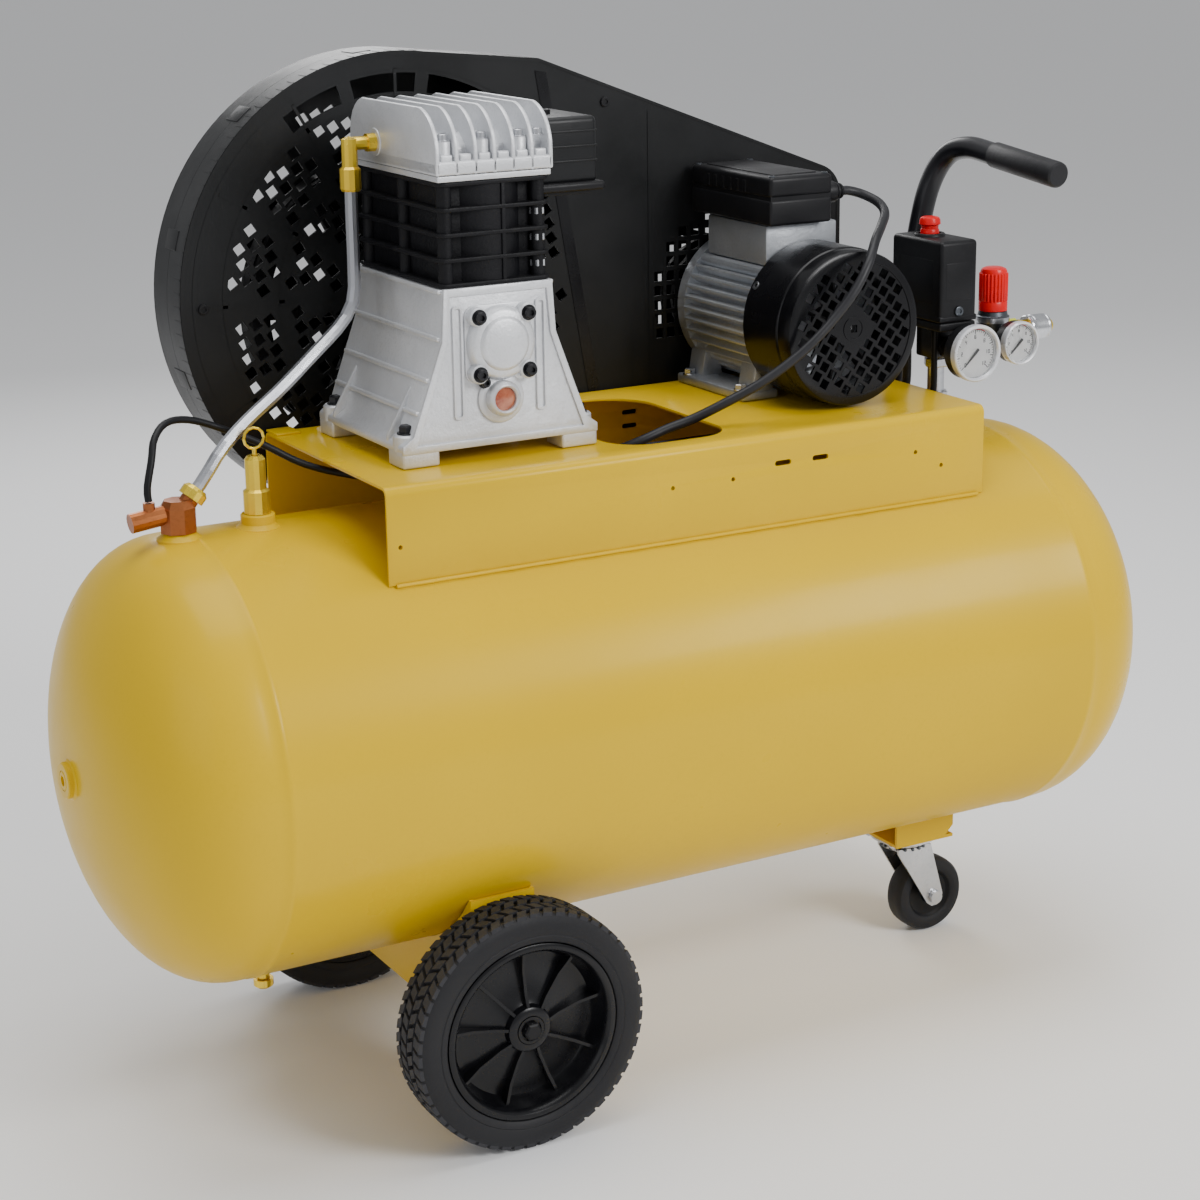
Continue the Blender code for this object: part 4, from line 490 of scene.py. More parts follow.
def rounded(corners, count=8):
    """A closed outline of (x, y, radius) corners, each rounded by an arc."""
    points = []
    for i, (x, y, radius) in enumerate(corners):
        here = Vector((x, y))
        before = (Vector(corners[i - 1][:2]) - here).normalized()
        after = (Vector(corners[(i + 1) % len(corners)][:2]) - here).normalized()
        if radius == 0:
            points.append((x, y))
            continue
        half = before.angle(after) / 2
        centre = here + (before + after).normalized() * (radius / math.sin(half))
        reach = radius / math.tan(half)
        first, last = here + before * reach - centre, here + after * reach - centre
        swing = first.angle_signed(last)
        for k in range(count):
            spoke = first.copy()
            spoke.rotate(Matrix.Rotation(-swing * k / (count - 1), 2))
            points.append(tuple(centre + spoke))
    return points


def rounded_box(left, low, right, high, radius, count):
    return rounded([(left, low, radius), (right, low, radius), (right, high, radius), (left, high, radius)], count)


def smooth_route(knots, spacing):
    """Points at even spacing along a smooth curve through the knots."""
    knots = [Vector(k) for k in knots]
    ends = [2 * knots[0] - knots[1]] + knots + [2 * knots[-1] - knots[-2]]
    fine = []
    for i in range(1, len(ends) - 2):
        p0, p1, p2, p3 = ends[i - 1 : i + 3]
        for k in range(20):
            t = k / 20
            fine.append(0.5 * (2 * p1 + (p2 - p0) * t + (2 * p0 - 5 * p1 + 4 * p2 - p3) * t * t
                               + (3 * p1 - p0 - 3 * p2 + p3) * t * t * t))
    fine.append(knots[-1])
    count = max(2, round(length_of(fine) / spacing))
    step, gone, route = length_of(fine) / count, 0.0, [fine[0]]
    for a, b in zip(fine, fine[1:]):
        length = (b - a).length
        while len(route) < count and gone + length >= step * len(route):
            route.append(a.lerp(b, (step * len(route) - gone) / length))
        gone += length
    route.append(fine[-1])
    return route


def length_of(points):
    return sum((Vector(b) - Vector(a)).length for a, b in zip(points, points[1:]))


def on_circle(radius, turn):
    return radius * math.cos(turn), radius * math.sin(turn)


def toothed(centre, count, tooth):
    """One tooth, given as (share of its pitch, radius) corners, repeated round a centre."""
    outline = []
    for i in range(count):
        for offset, radius in tooth:
            x, y = on_circle(radius, 2 * math.pi * (i + offset) / count)
            outline.append((centre[0] + x, centre[1] + y))
    return outline


def spun(piece, place, turn):
    """A piece turned about Y, then moved to a place."""
    piece.matrix_world = Matrix.Translation(place) @ Matrix.Rotation(turn, 4, "Y")
    return piece


def square_hole(x, z, side, turn=0.0):
    half = side / 2
    spin = Matrix.Rotation(turn, 2)
    return [tuple(spin @ Vector((a * half, b * half)) + Vector((x, z)))
            for a, b in ((-1, -1), (1, -1), (1, 1), (-1, 1))]


def show(piece, material, body="frame", *nodes):
    """Gives a piece its material and body; the named CAD nodes are no longer shown."""
    piece.data.materials.clear()
    piece.data.materials.append(material)
    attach(piece, body)
    if nodes:
        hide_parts(*nodes)
    return piece


def bolts(name, axis, seats, size, height, material, washer=True, socket=False):
    """The same bolt at each seat, numbered in order."""
    for n, seat in enumerate(seats):
        show(bolt("%s_%d" % (name, n), axis, seat, size, height, washer, socket), material)


def repaint(material, *nodes):
    """A CAD node keeps its shape and takes a better material."""
    for node in nodes:
        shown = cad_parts[node]
        for slot in shown.material_slots:
            slot.material = material


# ---------------------------------------------------------------- cords
# Both routes run above the tank's axis, in millimetres.
GLAND_END, SWITCH_INLET = 243.5, 282.7
CABLE_KNOTS = mm(
    (GLAND_END, 14, 410.5), (252, 13.8, 410), (264, 8, 406), (269, -8, 400), (262, -27, 393.5), (245, -46, 386),
    (226, -64, 376.5), (209.4, -78, 360.4), (192.7, -82, 338.4), (174, -80, 317), (154, -79, 299), (132, -75, 282),
    (104, -68, 264), (74, -59, 249), (48, -50, 237), (26, -45.5, 230.5), (2.1, -42.5, 222.5), (-14, -31.9, 215),
    (-22, -10, 208), (-14, 11.9, 203), (0.4, 21.9, 200.5), (20, 24, 199.2), (60, 24, 198.5), (120, 23.8, 198.3),
    (200, 23.5, 198), (260, 23, 197.6), (290, 22.2, 197.5), (307, 21.6, 202.2), (318.4, 21.1, 212.5),
    (323.7, 20.6, 227), (323.6, 20, 260), (323.5, 20, SWITCH_INLET),
)
RELIEF_KNOTS = mm(
    (-421.5, 0, 217.2), (-421.5, 1, 228), (-415, 6, 248), (-408, 16, 263), (-393, 28, 272), (-370, 36, 270),
    (-340, 38, 258), (-310, 34, 243), (-275, 24, 223), (-230, 4, 211), (-170, -20, 203), (-90, -38, 196),
    (10, -44, 193), (110, -44, 193), (210, -41, 195), (270, -32, 201), (295, -26, 204.8), (312, -23, 209),
    (319.5, -22, 216.5), (323.3, -22, 228), (323.5, -22, 260), (323.5, -22, SWITCH_INLET),
)


def raised(knots):
    return [(x, y, axis_z(z)) for x, y, z in knots]


def lay_cord(name, knots, radius, material, node):
    route = smooth_route(raised(knots), 0.006)
    cord = show(tube(name, route, radius, 5), material, "frame", node)


lay_cord("motor_lead", CABLE_KNOTS, 0.0042, CABLE, "motor_cable")
lay_cord("relief_line", RELIEF_KNOTS, 0.003, BLACK, "relief_tube")


# ---------------------------------------------------------------- tank
HANDLE_FOOT = Vector((0.33, 0.055, axis_z(0.186)))
HANDLE_LEAN = Vector((0.172, 0.0, 1.0)).normalized()


def tank_outline(count=20):
    """Half of the tank's section: dished ends a little fuller than an ellipse, and a weld bead at each seam."""
    fullness = 2 / 2.11
    quarter = []
    for i in range(count + 1):
        turn = math.radians(90 * i / count)
        reach = abs(math.sin(turn)) ** fullness * HEAD_DEPTH
        away = abs(math.cos(turn)) ** fullness * TANK_RADIUS if i < count else 0.0
        quarter.append((away, TANK_LENGTH / 2 - HEAD_DEPTH + reach))
    seam = TANK_LENGTH / 2 - HEAD_DEPTH - 0.012
    bead = [(TANK_RADIUS, seam + 0.004), (TANK_RADIUS + 0.0007, seam + 0.0025), (TANK_RADIUS + 0.001, seam),
            (TANK_RADIUS + 0.0007, seam - 0.0025), (TANK_RADIUS, seam - 0.004)]
    side = list(reversed(quarter)) + bead
    return side + [(r, -h) for r, h in reversed(side)]


def upright_boss(name, x, top):
    """A round boss with a weld fillet at its foot, a little below the tank's skin."""
    foot, radius = 0.183, 0.014
    profile = [(0, top), (radius - 0.0012, top), (radius, top - 0.0012), (radius, foot + 0.0052),
               (radius + 0.0016, foot + 0.0036), (radius + 0.0042, foot + 0.0018), (radius + 0.0046, foot - 0.004),
               (0, foot - 0.004)]
    show(turned(name, [(r, axis_z(h)) for r, h in profile], "Z", (x, 0, 0), 40), YELLOW)


def make_tank():
    show(turned("tank_shell", tank_outline(), "X", (0, 0, AXIS_HEIGHT), 160), YELLOW, "frame", "tank")
    seam = [(x, 0, AXIS_HEIGHT - TANK_RADIUS - 0.0004) for x in (-0.386, -0.2, 0.0, 0.2, 0.386)]
    show(settle(tube("long_weld", seam, 0.0016, 4)), YELLOW)
    upright_boss("safety_boss", -0.331, 0.196)
    upright_boss("check_boss", -0.398, 0.1892)
    upright_boss("riser_boss", RISER_X, 0.196)
    drain = mm((0, -190.8), (12, -190.8), (13.2, -189.6), (13.2, -186.8), (16, -184.8), (0, -180))
    show(turned("drain_boss", drain, "Z", (-0.348, 0, AXIS_HEIGHT), 36), YELLOW)
    socket = mm((10.8, 26), (13.4, 26), (14.2, 25), (14.2, -4), (16, -7.5), (19, -10), (19, -20), (10.8, -20))
    show(turned("handle_socket", socket, HANDLE_LEAN, HANDLE_FOOT, 40, ring=True), YELLOW)
    for side, word in ((-1, "left"), (1, "right")):
        end = side * (TANK_LENGTH / 2)
        ring = mm((8.5, 5.5), (14, 5.5), (15, 4.5), (15, 1), (18.5, -1.2), (8.5, -2))
        out = Vector((side, 0, 0))
        show(turned(word + "_end_boss", ring, out, (end, 0, AXIS_HEIGHT), 40, ring=True), YELLOW)
        seat = (end + side * 0.0006, 0, AXIS_HEIGHT)
        show(bolt(word + "_end_plug", out, seat, 0.0098, 0.0052, False, True), YELLOW)


make_tank()


# ---------------------------------------------------------------- mounting plate
def make_plate():
    left, right, front, back = -0.267, 0.314, -0.11, 0.138
    sheet, bend, half = 0.0025, 0.006, 0.00125
    skin = 0.1856
    low_front = axis_z(math.sqrt(skin**2 - (front + half) ** 2))
    low_back = axis_z(math.sqrt(skin**2 - (back - half) ** 2))
    top = PLATE_TOP - half
    flank = 0.003
    section = [(front + half, low_front), (front + half, top - bend - flank)]
    section += arc((front + half + bend, top - bend), bend, 180, 90, 9) + [(front + half + bend + flank, top)]
    section += [(back - half - bend - flank, top)] + arc((back - half - bend, top - bend), bend, 90, 0, 9)
    section += [(back - half, top - bend - flank), (back - half, low_back)]
    shape = bmesh.new()
    rails = [[shape.verts.new((x, y, z)) for y, z in section] for x in (left, right)]
    for i in range(len(section) - 1):
        shape.faces.new((rails[0][i], rails[1][i], rails[1][i + 1], rails[0][i + 1]))
    bmesh.ops.recalc_face_normals(shape, faces=shape.faces)
    plate = from_bmesh("bed_plate", shape)
    solid = plate.modifiers.new("sheet", "SOLIDIFY")
    solid.thickness, solid.offset, solid.use_even_offset = sheet, 0.0, True
    opening = rounded(mm((-42, -85, 35), (72, -85, 35), (72, 105, 50), (-42, 105, 20)),
                      10)
    cutters = [flat("opening", [opening], "XY", PLATE_TOP - 0.02, 0.04)]
    for x, height, y in ((0.102, 0.204, front), (0.14, 0.204, front), (0.093, 0.205, back), (0.093, 0.192, back)):
        slot = rounded_box(x - 0.008, axis_z(height) - 0.0022, x + 0.008, axis_z(height) + 0.0022, 0.0021, 6)
        cutters.append(flat("slot", [slot], "XZ", y - 0.01, 0.02))
    plate = soften(carve(plate, cutters), 0.0004, 2, 50)
    pins = [rod("pin_hole", "Y", (x, front - 0.01, axis_z(height)), 0.02, 0.0019, 16)
            for x, height in ((-0.256, 0.181), (-0.007, 0.196), (0.052, 0.196), (0.24, 0.196), (0.268, 0.181))]
    show(carve(plate, pins), YELLOW, "frame", "mounting_plate")
    weld = []
    for i in range(46):
        x = left + 0.006 + i * (right - left - 0.012) / 45
        weld.append((x, front - 0.001 + 0.0003 * math.sin(i * 2.1), low_front - 0.0002))
    show(settle(tube("front_weld", weld, 0.0016, 3)), YELLOW)
    stop = block("rear_stop", (-0.2665, 0.112, PLATE_TOP - 0.0002), (-0.244, 0.1365, PLATE_TOP + 0.002), 0.0008)
    show(stop, YELLOW)


make_plate()


# ---------------------------------------------------------------- wheels
def lozenge(shape, centre_turn, row, skew, wheel):
    """One tread block: a slanted box bent onto the tyre."""
    width, length, base, top = 0.01, 0.0096, 0.099, WHEEL_RADIUS - 0.0001
    corners = []
    for radius, inset in ((base, 0.0), (top, 0.0007)):
        for a, b in ((-1, -1), (1, -1), (1, 1), (-1, 1)):
            across = row + a * (width / 2 - inset)
            along = b * (length / 2 - inset) + a * skew
            turn = centre_turn + along / WHEEL_RADIUS
            drop = max(0.0, abs(across) - 0.015) * 0.15
            x, z = on_circle(radius - drop, turn)
            corners.append(shape.verts.new((wheel[0] + x, wheel[1] + across, wheel[2] + z)))
    shape.faces.new(corners[4:8])
    for i in range(4):
        shape.faces.new((corners[i], corners[(i + 1) % 4], corners[4 + (i + 1) % 4], corners[4 + i]))


def make_tread(name, wheel):
    """Four rows of blocks, every other row half a block round and slanted the other way."""
    shape = bmesh.new()
    count = 54
    for k, row in enumerate((-0.0165, -0.0055, 0.0055, 0.0165)):
        for i in range(count):
            turn = 2 * math.pi * (i + (0.5 if k % 2 else 0.0)) / count
            lozenge(shape, turn, row, 0.0022 if k % 2 else -0.0022, wheel)
    bmesh.ops.recalc_face_normals(shape, faces=shape.faces)
    return from_bmesh(name, shape, 20)


def make_wheel(side):
    word = "front" if side < 0 else "rear"
    body = word + "_wheel"
    wheel = (WHEEL_X, side * (WHEEL_HALF - TYRE_WIDTH / 2), WHEEL_RADIUS)
    out = Vector((0, side, 0))
    half = TYRE_WIDTH / 2
    wall = [(0.0768, half - 0.006), (0.0775, half - 0.0022), (0.0795, half - 0.0006), (0.083, half - 0.0001),
            (0.084, half - 0.0007), (0.0852, half - 0.0001), (0.094, half - 0.0006), (0.0985, half - 0.002),
            (0.1008, half - 0.004), (0.1019, half - 0.0062), (0.1018, half - 0.0076), (0.0996, half - 0.0084)]
    tyre = wall + [(r, -h) for r, h in reversed(wall)]
    show(turned(word + "_tyre_casing", tyre, out, wheel, 96, ring=True), TYRE, body, word + "_tyre")
    show(make_tread(word + "_tyre_tread", wheel), TREAD, body)
    rim = [(0.0763, half - 0.002), (0.0745, half - 0.001), (0.0715, half - 0.0012), (0.0695, half - 0.003),
           (0.068, 0.016), (0.0655, 0.005), (0.063, 0.0018), (0.057, 0.0014), (0.024, 0.008), (0.0205, 0.01),
           (0.019, 0.0155), (0.017, 0.017), (0.0125, 0.0172), (0.012, 0.016), (0.0078, 0.016),
           (0.0078, -half + 0.001), (0.013, -half + 0.001), (0.014, -0.006), (0.025, -0.0035), (0.063, -0.0035),
           (0.0665, -half + 0.004), (0.069, -half + 0.0015), (0.0763, -half + 0.002)]
    show(turned(word + "_rim_dish", rim, out, wheel, 96, ring=True), GLOSS_BLACK, body, word + "_rim")
    ribs, rib_count, web_count = [], 9, 6
    outline = mm((18, 4), (18, 15), (29, 11.8), (50, 9.8), (64, 12), (67.2, 12), (67.2, 0.5), (56, 0.5))
    for i in range(rib_count):
        spin = 2 * math.pi * (i + 0.3) / rib_count
        rib = flat("rib", [[(x, side * y) for x, y in outline]], "XY", -0.0013, 0.0026)
        ribs.append(spun(rib, wheel, -spin))
    near, far = sorted((-side * 0.02, -side * 0.003))
    for i in range(web_count):
        web = block("web", (0.013, near, -0.0015), (0.067, far, 0.0015))
        ribs.append(spun(web, wheel, 2 * math.pi * i / web_count))
    show(gather(word + "_rim_ribs", ribs), GLOSS_BLACK, body)
    cap = mm((0, 6.2), (6.2, 6.2), (7.8, 5), (8.2, 0), (0, 0))
    seat = Vector(wheel) + out * 0.0166
    show(turned(word + "_hub_cap", cap, out, seat, 6), BLACK, body)
    ring = mm((9.2, 0), (9.2, 1.6), (11.8, 1.6), (11.8, 0))
    show(turned(word + "_cap_ring", ring, out, seat - out * 0.0004, 40, ring=True), GLOSS_BLACK, body)


make_wheel(-1)
make_wheel(1)
repaint(YELLOW, "axle_bracket", "caster_bracket")
repaint(TURNED_STEEL, "axle", "caster_fork", "caster_axle_bolt")


# ---------------------------------------------------------------- caster
def make_caster():
    roll = (0.342, 0, 0.0375)
    tread = mm((24, 10), (26.2, 11.6), (31, 12), (35, 11.2), (37, 8.5), (37.5, 4))
    tread += [(r, -h) for r, h in reversed(tread)]
    show(turned("caster_tyre", tread, "Y", roll, 64, ring=True), TYRE, "caster_roller", "caster_wheel")
    hub = mm((4.8, 13.8), (8.5, 13.8), (9.2, 12.8), (9.6, 8), (15, 6.2), (21.5, 7), (24.6, 10.2))
    hub += [(r, -h) for r, h in reversed(hub)]
    show(turned("caster_hub", hub, "Y", roll, 56, ring=True), BLACK, "caster_roller")
    swivel = mm((0, 112.7), (6, 112.7), (6, 104.8), (31, 104.8), (32.5, 104), (32.5, 102), (24, 101.8), (22.5, 99),
                (21.5, 95.5), (19, 94.7), (5.2, 94.7), (5.2, 90.5), (4, 90.3), (0, 90.3))
    show(turned("caster_swivel_race", swivel, "Z", (CASTER_X, 0, 0), 56), TURNED_STEEL, "frame", "caster_swivel_plate")
    ball, ball_count, race, balls = 0.0018, 18, 0.0214, []
    for i in range(ball_count):
        x, y = on_circle(race, 2 * math.pi * i / ball_count)
        profile = [(0, ball), (0.0013, 0.0013), (ball, 0), (0.0013, -0.0013), (0, -ball)]
        balls.append(turned("ball", profile, "Z", (CASTER_X + x, y, 0.0936), 8))
    show(gather("caster_balls", balls, 60), DARK_STEEL, "caster_yoke")
    seats = [(CASTER_X + x * 0.0255, y * 0.0255 * 0.75, 0.1017) for x, y in ((-1, -1), (1, -1), (1, 1), (-1, 1))]
    bolts("caster_rivet", (0, 0, -1), seats, 0.0042, 0.0022, TURNED_STEEL, False)


make_caster()


# ---------------------------------------------------------------- pump
CASE_SIDE = mm((89, 12), (89, 19), (79, 26), (66, 60), (51.5, 100), (48.8, 142))
CASE_FRONT, CASE_BACK = -0.062, 0.108


def pump_outline():
    right = [(PUMP_X + x, plate_z(z)) for x, z in CASE_SIDE]
    return right + [(PUMP_X - x, plate_z(z)) for x, z in reversed(CASE_SIDE)]


def slope_half(z):
    """Half the crankcase's width at a height over the plate."""
    for (x1, z1), (x2, z2) in zip(CASE_SIDE, CASE_SIDE[1:]):
        if z1 <= z <= z2:
            return x1 + (x2 - x1) * (z - z1) / (z2 - z1)
    return CASE_SIDE[-1][0]


def pump_feet():
    """Middles of the four feet, as x and y."""
    return [(PUMP_X + side * 0.0785, y + 0.015) for side in (-1, 1) for y in (CASE_FRONT, CASE_BACK - 0.03)]


def make_crankcase():
    front, back = CASE_FRONT, CASE_BACK
    case = flat("case", [pump_outline()], "XZ", front + 0.0015, back - front - 0.0015, 0.0022)
    pieces = []
    for side in (-1, 1):
        for y in (front, back - 0.03):
            inner, outer = PUMP_X + side * 0.056, PUMP_X + side * 0.089
            pieces.append(block("foot", (min(inner, outer), y + 0.0006, plate_z(0.0003)),
                                (max(inner, outer), y + 0.029, plate_z(0.015)), 0.002))
            spot = (PUMP_X + side * 0.0785, y + 0.015, plate_z(0.013))
            boss = mm((0, 13.5), (9.8, 13.5), (11.2, 12), (11.4, 0), (0, 0))
            pieces.append(turned("boss", boss, "Z", spot, 32))
            gusset = [(PUMP_X + side * 0.0885, plate_z(0.018)), (PUMP_X + side * 0.0885, plate_z(0.024)),
                      (PUMP_X + side * 0.066, plate_z(0.062)), (PUMP_X + side * 0.06, plate_z(0.018))]
            near = y + 0.0295 if y < 0 else y - 0.0035
            pieces.append(flat("gusset", [gusset], "XZ", near, 0.004, 0.0012))
    for height, out in ((0.142, 0.0032), (0.104, 0.0026), (0.072, 0.0026), (0.046, 0.0026)):
        reach = slope_half(min(height - 0.002, 0.139)) + out
        pieces.append(block("ledge", (PUMP_X - reach, front + 0.004, plate_z(height - 0.0042)),
                            (PUMP_X + reach, back - 0.004, plate_z(height - 0.0006)), 0.0012))
    inner = [(PUMP_X + s * x, plate_z(z)) for s, x, z in (
        (1, 0.076, 0.018), (1, 0.061, 0.058), (1, 0.0465, 0.099), (1, 0.0435, 0.1355),
        (-1, 0.0435, 0.1355), (-1, 0.0465, 0.099), (-1, 0.061, 0.058), (-1, 0.076, 0.018))]
    pieces.append(flat("border", [pump_outline(), inner], "XZ", front - 0.0004, 0.003, 0.0007))
    for x in (PUMP_X - 0.0375, PUMP_X + 0.0375):
        outer = rounded_box(x - 0.0045, plate_z(0.036), x + 0.0045, plate_z(0.128), 0.003, 5)
        hollow = rounded_box(x - 0.0028, plate_z(0.038), x + 0.0028, plate_z(0.126), 0.002, 5)
        pieces.append(flat("channel", [outer, hollow], "XZ", front - 0.0006, 0.0032))
    pad = rounded_box(PUMP_X - 0.0315, plate_z(0.064), PUMP_X + 0.0315, plate_z(0.127), 0.009, 8)
    pieces.append(flat("pad", [pad], "XZ", front - 0.0002, 0.004, 0.0008))
    neck = mm((20.5, 0), (20.5, 5), (18.5, 6), (0, 6), (0, 0))
    pieces.append(turned("neck", neck, (0, -1, 0), (PUMP_X, front + 0.0045, plate_z(0.05)), 40))
    pieces.append(turned("rear_bearing", mm((14, 18), (26, 18), (29, 15), (31, 0), (14, 0)),
                         "Y", (PUMP_X, back - 0.004, CRANK_Z), 48, ring=True))
    show(gather("crankcase_casting", [case] + pieces, 40), SILVER_CAST, "frame", "crankcase")
    bolts("pump_bolt", "Z", [(x, y, plate_z(0.0266)) for x, y in pump_feet()], 0.0068, 0.0062, BLACK_PAINT)
    plug = (PUMP_X - 0.0155, front - 0.0008, plate_z(0.0645))
    show(bolt("oil_level_screw", (0, -1, 0), plug, 0.0046, 0.005, True, True), BLACK_PAINT)
    breather = mm((0, 16), (6.2, 16), (7.8, 14), (7.8, 6), (5.5, 5), (5.5, 0), (0, 0))
    spot = (PUMP_X + slope_half(0.118) - 0.001, 0.06, plate_z(0.118))
    show(turned("oil_breather", breather, (1, 0, 0.25), spot, 28), BLACK)


def make_bearing_cover():
    back = -0.0623
    centre = (PUMP_X, back, CRANK_Z)
    cap = mm((0, 11.2), (18.5, 11.2), (20.5, 10.4), (22.2, 8.6), (26.2, 7.8), (28.2, 6.6), (30, 3), (30.5, 0),
             (0, 0))
    pieces = [turned("cap", cap, (0, -1, 0), centre, 72)]
    lug = mm((0, 8.4), (6.8, 8.4), (7.8, 7.4), (8, 0), (0, 0))
    lugs = [(PUMP_X + x, CRANK_Z + z) for x in (-0.0222, 0.0222) for z in (-0.0232, 0.0232)]
    pieces += [turned("lug", lug, (0, -1, 0), (x, back, z), 28) for x, z in lugs]
    show(gather("crank_cover", pieces), SILVER_CAST, "frame", "bearing_cover")
    seats = [(x, back - 0.0082, z) for x, z in lugs]
    bolts("cover_screw", (0, -1, 0), seats, 0.0056, 0.0046, BLACK_PAINT, True, True)
    spot = (PUMP_X, back - 0.0006, plate_z(0.05))
    bezel = mm((9.8, 0), (9.8, 7.8), (11.2, 9.2), (13.2, 8), (14.7, 5.6), (14.7, 0))
    show(turned("oil_window_bezel", bezel, (0, -1, 0), spot, 48, ring=True), SILVER_CAST, "frame", "sight_glass")
    pane = mm((0, 6.2), (6, 6), (9.7, 5.2), (9.7, 0), (0, 0))
    show(turned("oil_window_pane", pane, (0, -1, 0), spot, 40), WINDOW)


def make_cylinders():
    low, high = plate_z(0.1423), plate_z(0.2255)
    left, right, front, back = PUMP_X - 0.05, PUMP_X + 0.05, -0.06, 0.1
    pieces = [block("core", (left + 0.009, front + 0.011, low), (right - 0.009, back - 0.011, high), 0.002)]
    barrel = [(0, high - 0.001), (0.0405, high - 0.001), (0.0405, low + 0.001), (0, low + 0.001)]
    for y in (-0.018, 0.058):
        pieces.append(turned("barrel", barrel, "Z", (PUMP_X, y, 0), 64))
    plan = rounded_box(left, front, right, back, 0.007, 6)
    fin, fin_count = 0.0032, 5
    for i in range(fin_count):
        z = low + i * (high - low - fin) / (fin_count - 1)
        pieces.append(flat("fin", [plan], "XY", z, fin, 0.0007))
    for y1, y2 in ((front + 0.0005, front + 0.012), (back - 0.012, back - 0.0005)):
        pieces.append(block("rib", (PUMP_X + 0.006, y1, low), (PUMP_X + 0.0095, y2, high), 0.0006))
    for x in (left + 0.0085, right - 0.0085):
        for y in (front + 0.0085, back - 0.0085, 0.02):
            pieces.append(rod("stud_column", "Z", (x, y, low), high - low, 0.0062, 20))
    show(gather("finned_cylinders", pieces, 40), BLACK_IRON, "frame", "cylinder_block")
    nuts = [rod("nut", "Z", (right - 0.0085, front + 0.0085, low + level), 0.006, 0.0068, 6, 0.0006)
            for level in (0.01, 0.031, 0.052)]
    show(gather("cylinder_nuts", nuts, 25), TURNED_STEEL)
    plate = block("gasket_plate", (left - 0.0005, front - 0.0005, plate_z(0.226)),
                  (right + 0.0005, back + 0.0005, plate_z(0.2308)), 0.0008)
    show(plate, SILVER_CAST, "frame", "valve_plate")


def make_head():
    low, high = plate_z(0.2313), plate_z(0.2843)
    left, right, front, back = PUMP_X - 0.052, PUMP_X + 0.052, -0.062, 0.102
    outline = [(front, low), (front, low + 0.013)]
    outline += arc((front + 0.036, high - 0.037), 0.036, 172, 100, 12)
    outline += arc((back - 0.032, high - 0.033), 0.032, 78, 0, 12)
    outline += [(back, low + 0.012), (back, low)]
    outline = [(y, min(z, high)) for y, z in outline]
    pieces = [block("slab", (left, front, low), (right, back, low + 0.011), 0.002)]
    core = [(front + 0.014, low + 0.008), (front + 0.014, low + 0.02), (front + 0.026, low + 0.031),
            (back - 0.026, low + 0.031), (back - 0.014, low + 0.02), (back - 0.014, low + 0.008)]
    pieces.append(flat("core", [core], "YZ", left + 0.002, right - left - 0.004, 0.002))
    fin, gaps = 0.0038, 6
    pitch = (right - left - fin) / gaps
    middles = [left + i * pitch + fin + (pitch - fin) / 2 for i in range(gaps)]
    post = mm((0, 22.5), (5.2, 22.5), (6.2, 21), (6.2, 0), (0, 0))
    pieces.append(flat("fin", [outline], "YZ", left, fin, 0.0011))
    for i, middle in enumerate(middles):
        for y in (front + 0.0085, back - 0.0085):
            if i % 2 == 0 or y > 0:
                pieces.append(turned("post", post, "Z", (middle, y, low + 0.004), 20))
        pieces.append(block("lip", (middle - 0.0052, front + 0.0012, low + 0.0085),
                            (middle + 0.0052, front + 0.008, low + 0.016), 0.0014))
        pieces.append(flat("fin", [outline], "YZ", left + (i + 1) * pitch, fin, 0.0011))
    boss = mm((6.2, 6), (11, 6), (12.5, 4), (13, -14), (6.2, -14))
    pieces.append(turned("port_boss", boss, (-1, 0, 0), (left + 0.0052, 0.052, plate_z(0.2485)), 36, ring=True))
    show(gather("finned_head", pieces, 40), SILVER_CAST, "frame", "cylinder_head")
    seats = [(middles[i], y, low + 0.0262) for i in (0, 2, 4, 5) for y in (front + 0.0085, back - 0.0085)]
    bolts("head_bolt", "Z", seats, 0.005, 0.005, TURNED_STEEL, True, True)


def make_filter():
    left = PUMP_X + 0.0523
    low = plate_z(0.2035)
    pieces = [block("case", (left + 0.001, -0.0275, low + 0.0085), (left + 0.06, 0.0495, plate_z(0.2668)), 0.005, 4)]
    for z in (0.23, 0.242, 0.254):
        pieces.append(block("ridge", (left + 0.004, -0.0282, plate_z(z)), (left + 0.0592, 0.0502, plate_z(z + 0.0018)),
                            0.0006))
    show(gather("filter_case", pieces, 40), GUARD_BLACK, "frame", "air_filter")
    base = [block("tray", (left, -0.033, low + 0.003), (left + 0.064, 0.055, low + 0.0105), 0.0028)]
    for i in range(7):
        y = i * 0.0115
        base.append(block("louvre", (left + 0.01, -0.026 + y, low), (left + 0.054, -0.0225 + y, low + 0.006), 0.0006))
    show(gather("filter_tray", base, 40), BLACK)
    show(bolt("filter_clip", "Z", (left + 0.03, 0.011, plate_z(0.2664)), 0.007, 0.004, False, True), BLACK)


make_crankcase()
make_bearing_cover()
make_cylinders()
make_head()
make_filter()
repaint(TURNED_STEEL, "crankshaft", "rotor_shaft", "motor_stator")
repaint(SILVER_CAST, "front_piston", "rear_piston")
repaint(BLACK, "cooling_fan")


# ---------------------------------------------------------------- belt guard
GUARD_CENTRE = (-0.131, 0.339)
GUARD_MIDDLE = (GUARD_CENTRE[0], axis_z(GUARD_CENTRE[1]))
GUARD_CORNERS = mm((272, 212, 45), (330, 252, 40), (330, 409, 30), (8, 530.5, 12))


